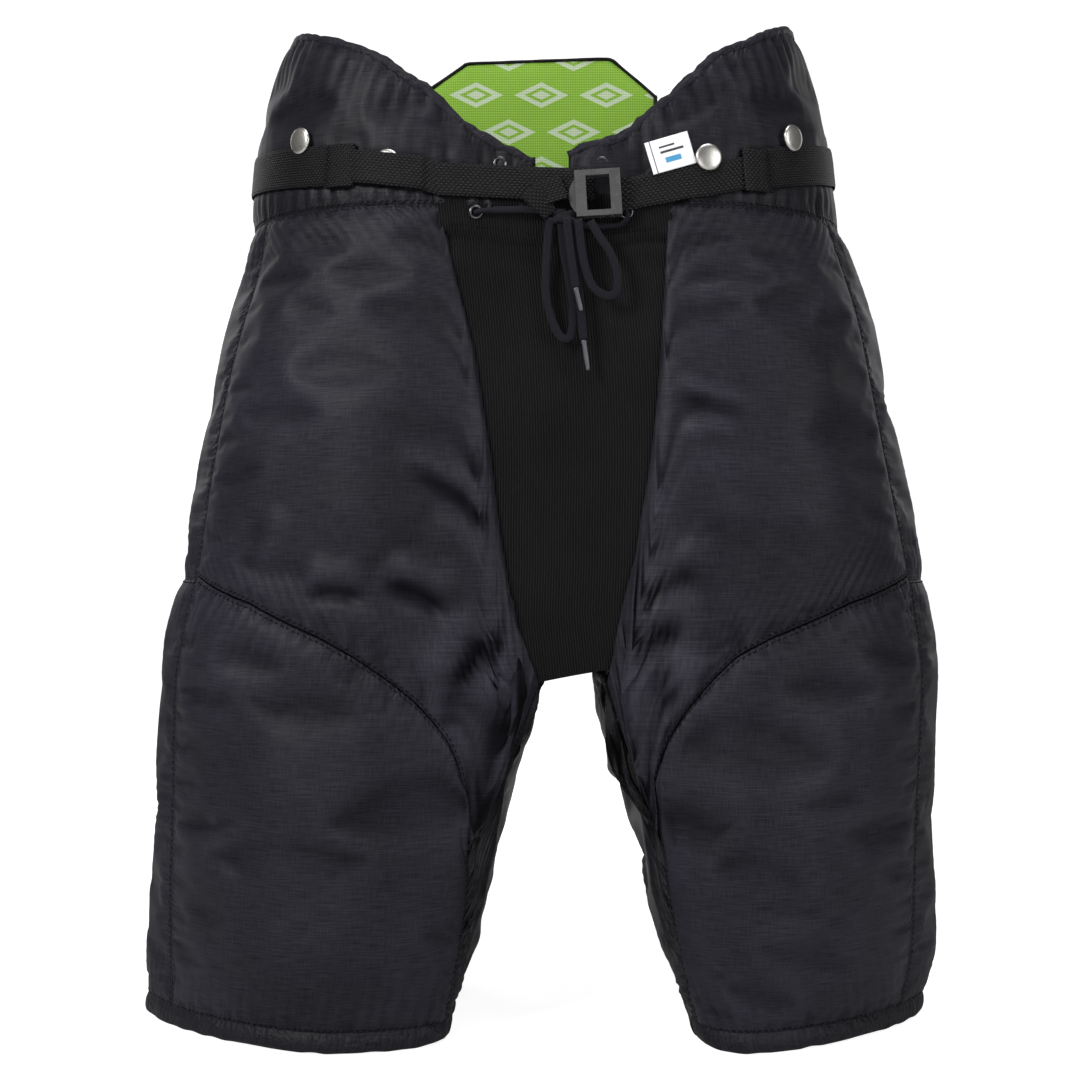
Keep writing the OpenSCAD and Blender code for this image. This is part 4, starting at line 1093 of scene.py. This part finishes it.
def buttons():
    cap = [(0.01, 2.85), (2, 2.8), (4.5, 2.6), (6.4, 2.3), (7.6, 1.95), (8.1, 1.6), (8.35, 1.2), (8.45, 0.8),
           (8.4, 0.35), (8.1, 0.0), (7.4, -0.1), (6.8, 0.2), (6.5, 0.5), (2.6, 0.6), (0.01, 0.6)]
    objs = []
    for s, u, z, out in ((LEFT, 1.44, 584, 5.8), (RIGHT, 1.44, 586, 5.8), (LEFT, 1.12, 565, 1.0),
                         (RIGHT, 1.1, 567.5, 4.1)):
        run = shape(s, u + 0.02, z) - shape(s, u - 0.02, z)
        facing = np.cross(unit(run * (1, 1, 0)), (0, 0, 1.0)) * s
        objs.append(revolve("cap", [(r, h + out) for r, h in cap], shape(s, u, z), facing, MAT["nickel"]))
    settle(joined("suspender_button_domes", objs), "torso", ["suspender_button_caps"])


def eyelets():
    ring = [(2.7, -0.2), (2.72, 0.7), (2.95, 1.15), (3.4, 1.38), (3.9, 1.3), (4.35, 1.0), (4.5, 0.6), (4.45, 0.4),
            (3.6, 0.4), (3.3, -0.2)]
    objs = [revolve("eyelet", ring, np.array([x, -look(z, FRONT, 0) - 0.35, z]) * MM, AHEAD, MAT["eyelet"], 48)
            for x, z in ((-41, 533), (53, 533), (-26, 564), (38, 564))]
    settle(joined("lace_eyelet_rings", objs), "torso", ["lace_eyelets"])


def label():
    x, z = np.meshgrid(np.linspace(-14, 14, 40), np.linspace(-10.5, 10.5, 30))
    roll = math.radians(-16)
    ripple = 0.5 * np.sin((x + 14) / 28 * 2.6) + 0.35 * np.sin(z / 6) * (x / 14)
    high = 570 - x * math.sin(roll) + z * math.cos(roll)
    across = 80.5 + x * math.cos(roll) + z * math.sin(roll)
    pts = np.stack([across, -look(high, FRONT) - 3.4 - ripple, high], -1) * MM
    obj = closed_sheet("size_label_cloth", pts, pts - normals(pts) * 0.0004, MAT["label"])
    settle(obj, "torso", ["size_label"])


buttons()
eyelets()
label()


# ------------------------------------------------------------------ hems, linings, pads
def hem(s):
    """The hem band: nylon turned up round the foot of the leg."""
    u = even_columns(s, 0.02, 5.02, 10, 300)[0]
    # across the band: depth and height in mm, then how far it ripples, gathers and sags there
    cross = np.array([(1.4, 13.6, 0.1, 0.1, 0), (0.4, 11.8, 0.5, 0.9, 0), (-0.9, 9.2, 0.8, 1.0, 0),
                      (-1.5, 6, 0.9, 0.6, 0.3), (-1.4, 2.8, 0.9, 0.25, 0.7), (-0.5, 0.8, 0.5, 0, 1),
                      (1.2, 0.3, 0, 0, 1), (2.6, 1.2, 0, 0, 0.8), (3.2, 5, 0, 0, 0), (3.4, 12, 0, 0, 0),
                      (3.4, 24, 0, 0, 0)])
    pts = np.array([[shape(s, uu, z, o) for o, z in cross[:, :2]] for uu in u])
    phase = along_line(arc(pts[:, 2]))
    gather = np.cos(2 * math.pi * phase[:, 0] / 0.0048 + 2.5 * noise(phase, 0.02, 45))
    gather = gather * (0.5 + 0.5 * noise(phase, 0.03, 46))
    ripple = 0.0009 * noise(phase, 0.012, 41) + 0.0008 * noise(phase, 0.04, 43)
    out = unit((pts[:, 2] - pts[:-1].mean((0, 1))) * np.array([1, 1, 0]))
    push = ripple[:, None] * cross[:, 2] + 0.0005 * gather[:, None] * cross[:, 3]
    pts += out[:, None] * push[..., None]
    pts[..., 2] += (0.0005 * noise(phase, 0.010, 47) + 0.0006)[:, None] * cross[:, 4]
    pts[-1] = pts[0]
    pts = finer(pts)
    flip = s == RIGHT
    obj = closed_sheet("hem_fold_" + SIDE[s], pts, pts - normals(pts, flip) * 0.0007, MAT["hem"], flip)
    settle(obj, SIDE[s] + "_leg", ["hem_band_" + SIDE[s]])


def cushion(name, base, depths, mat, flip, quilt=None):
    """A closed form between two depths, full in the middle and drawn in at its rim; base places it at a depth."""
    mid, half = (depths[0] + depths[1]) / 2, (depths[1] - depths[0]) / 2
    along, up = lengths(base(mid))
    full = 0.25 + 0.75 * np.sqrt(1 - (1 - np.clip(rim_distance(base(mid)) / 0.012, 0, 1)) ** 2)
    if quilt:
        a = np.abs(np.sin(math.pi * (along + up) / quilt)) * np.abs(np.sin(math.pi * (along - up) / quilt))
        full = full * (0.80 + 0.20 * np.clip(a * 3, 0, 1))
    return closed_sheet(name, finer(base(mid - half * full)), finer(base(mid + half * full)), mat, flip)


def pad(name, s, u0, u1, foot, head, depths, mat, node, group, quilt=None):
    """A soft pad or a plate under the shell."""
    uu, zz = panel_places(s, u0, u1, foot, head, cell=0.009)
    obj = cushion(name, lambda o: shape(s, uu, zz, o), depths, mat, s == LEFT, quilt)
    settle(obj, group, [node])


HIP_FRONT = edge_of([(1.1, 405), (1.3, 392), (1.6, 360), (1.75, 348), (3, 348)])
LINER_TOP = edge_of([(1.7, 296), (3.2, 296), (3.45, 190), (5.3, 190), (5.42, 150)])
GUARD_DEPTHS, FOAM_DEPTHS = (4.4, 6.4), (7.6, 19.6)
QUILT = 0.06


def pads(s):
    side, wing_top = SIDE[s], WING_TOP[s]
    hip, foam_mat = "hip_" + side, MAT["foam"]
    pad("hip_guard_" + side, s, 1.3, 2.4, lambda u: HIP_FRONT(u) + 12, level(512), GUARD_DEPTHS, MAT["guard"],
        "hip_plate_" + side, hip)
    pad("thigh_plate_" + side, s, 0.6, 1.5, level(52), lambda u: THIGH_SEAM(u) - 28, GUARD_DEPTHS, MAT["guard"],
        "thigh_guard_" + side, hip)
    pad("hip_cushion_" + side, s, 1.2, 2.6, HIP_FRONT, level(526), FOAM_DEPTHS, foam_mat, "hip_pad_" + side, hip,
        QUILT)
    pad("thigh_cushion_" + side, s, 0.48, 1.6, level(28), lambda u: np.minimum(THIGH_SEAM(u) - 8, 296),
        (7.6, 17.6), foam_mat, "thigh_foam_" + side, hip, QUILT)
    pad("leg_lining_" + side, s, 1.7, 5.42, level(28), LINER_TOP, (3.8, 5.8), MAT["leg_lining"],
        "leg_liner_" + side, hip)
    pad("wing_cushion_" + side, s, 1.2, 2.35, level(617), lambda u: wing_top(u) - 7, (3.6, 13.6), foam_mat,
        "wing_foam_" + side, side + "_wing")
    pad("wing_lining_cloth_" + side, s, 0.6, 2.56, level(600), lambda u: np.maximum(wing_top(u) - 3, 606),
        (15.6, 16.8), MAT["lining"], "wing_lining_" + side, "wing_" + side)


for s in SIDE:
    hem(s)
    pads(s)


def seat_cushion():
    """The seat pad: one cushion over both sides of the back."""
    u, z = np.linspace(2.75, 4, 16), np.linspace(350, 532, 26)[:, None]

    def base(o):
        o = np.broadcast_to(o, (len(z), 2 * len(u) - 1))
        left = shape(LEFT, u, z, o[:, :len(u)])
        right = shape(RIGHT, u[::-1], z, o[:, len(u) - 1:])
        return np.concatenate([left, right[:, 1:]], 1)
    settle(cushion("seat_cushion", base, FOAM_DEPTHS, MAT["foam"], True), "torso", ["seat_pad"])


def crotch():
    """The strip of nylon that joins the two legs: under the crotch, then up behind it to the seat panels."""
    rows = np.array([(-101, 240, 21, 44), (-60, 238.6, 21, 44), (0, 238, 21, 44), (60, 238.4, 21, 44),
                     (96, 240, 21, 46), (114, 244, 21, 52), (122.5, 254, 20, 62), (126.5, 270, 17, 74),
                     (129.5, 290, 14, 86), (132, 318, 12, 92)])     # y, z, middle x and width
    line = curve_through(rows, 10) / MM
    x = np.linspace(-0.5, 0.5, 24)
    y, z, middle, wide = (line[:, k:k + 1] for k in range(4))
    lean = 9 * (x + 0.5) * np.clip(0.5 - (y - 6) / 214, 0, 1)
    pts = np.stack(np.broadcast_arrays(middle + x * wide, y, z + lean), -1) * MM
    pts[..., 2] += 0.0011 * noise(pts, (0.02, 0.03, 0.02), 51)
    pts[..., 1] += 0.0006 * noise(pts, (0.02, 0.03, 0.02), 52)
    obj = closed_sheet("crotch_strip", pts, pts - normals(pts) * 0.002, MAT["gusset"])
    settle(obj, "torso", ["crotch_gusset"])


seat_cushion()
crotch()


# ------------------------------------------------------------------ wing binding and spine pad
def binding(s):
    panel = next(p for p in SHELLS if p["name"] == "band_shell_" + SIDE[s])
    line = panel["final"][-1] - panel["normal"][-1] * 0.0020
    line = line[::max(1, len(line) // 260)]
    run = along_line(arc(line))
    swell = 1 + 0.22 * noise(run, 0.0075, 61 + s)
    line = line + np.array([0, 0, 0.0006]) * noise(run, 0.009, 63 + s)[:, None]
    obj = tube("waist_binding_" + SIDE[s], line, 0.0062 * swell, 0.0068 * swell, (0, 0, 1.0), MAT["shell"],
               14, 0.9)
    settle(obj, "wing_" + SIDE[s], None)


for s in SIDE:
    binding(s)

PAD_FOOT, PAD_TALL = 603, 95


def spine_grid(y, inset, puff, tuck_y=None):
    """The six-sided outline of the spine pad as a grid, standing at depth y; its foot tucks into the waistband
    when tuck_y says at what depth."""
    share = np.linspace(0, 1, 90)
    pts = []
    for z in PAD_FOOT + (PAD_TALL - inset) * np.linspace(0, 1, 46):
        cut = np.clip((z - 668) / 29, 0, 1)
        x = (-98 + inset + 40 * cut) * (1 - share) + (88 - inset - 33 * cut) * share
        pts.append(np.stack([x, x * 0 + y, z + (z - PAD_FOOT) / PAD_TALL * 3.5 * (share - 1)], -1))
    pts = np.array(pts) * MM
    dist = edge_distance(pts)
    dist["foot"] = dist["foot"] + 0.03   # the foot stays full, since it runs on into the waistband
    pts[..., 1] += puff * MM * (1 - np.exp(-np.minimum.reduce(list(dist.values())) / 0.009))
    flange = []
    for k in range(12, 0, -1) if tuck_y else ():
        row = pts[0] - np.array([0, 0, k * 15 / 12]) * MM
        part = min(k / 6, 1)
        row[:, 1] += (tuck_y * MM - row[:, 1]) * part * part * (3 - 2 * part)
        flange.append(row)
    return np.concatenate([np.array(flange).reshape(-1, *pts.shape[1:]), pts])


def spine_pad():
    front = spine_grid(113.5, 1, -2.0, 116)
    front[..., 1] += 0.0008 * noise(front, (0.03, 0.05, 0.03), 71)
    back = spine_grid(126.4, 0, 1.6, 119)
    back[..., 1] += 0.0010 * noise(back, (0.035, 0.05, 0.03), 73)
    mid_f, mid_b = spine_grid(113.6, 4, -0.2), spine_grid(121.5, 4, 0.6)
    printed = np.stack([front[..., 0] + 0.2, front[..., 2]], -1)
    for name, outer, inner, uv, key, node, group, slot, fill in (
            ("face", front, front + (0, 0.0012, 0), printed, "lining", "lining", "tilt", "lime_lining", 0.5),
            ("cushion", mid_f + (0, 0.0012, 0), mid_b, mid_f[..., (0, 2)], "foam", "foam", "spine_pad",
             "foam", 0.8),
            ("cover", back - (0, 0.0014, 0), back, printed, "shell", "shell", "tilt", "nylon_shell", 0.5)):
        obj = closed_sheet("spine_pad_" + name, outer, inner, MAT[key], uv=uv)
        settle(obj, group, ["spine_pad_" + node])
    outline = [(-98, 603), (-98, 640), (-98, 663), (-96, 667), (-63, 690), (-58, 693.6), (-50, 694.6),
               (-30, 695.3), (0, 696.4), (30, 697.4), (48, 698), (54, 697), (60, 692.5), (85, 671), (88, 666),
               (88, 640), (88, 603)]
    path = curve_through([(x, 119.5, z) for x, z in outline], 14)
    swell = 1 + 0.10 * noise(along_line(arc(path)), 0.008, 75)
    edge = tube("spine_pad_binding", path, 0.0150 * swell, 0.0030 * swell,
                np.cross(unit(np.gradient(path, axis=0)), (0, 1.0, 0)), MAT["binding"], 18, 0.6)
    settle(edge, "spine_pad", None)


spine_pad()

for group, rows in STITCHES.items():
    starts = np.cumsum([0] + [len(v) for v, _ in rows])
    faces = np.concatenate([f + first for (_, f), first in zip(rows, starts)])
    thread = new_object("stitching_" + group, np.concatenate([v for v, _ in rows]), faces,
                        np.zeros((faces.size, 2)), MAT["thread"])
    place(thread, group)
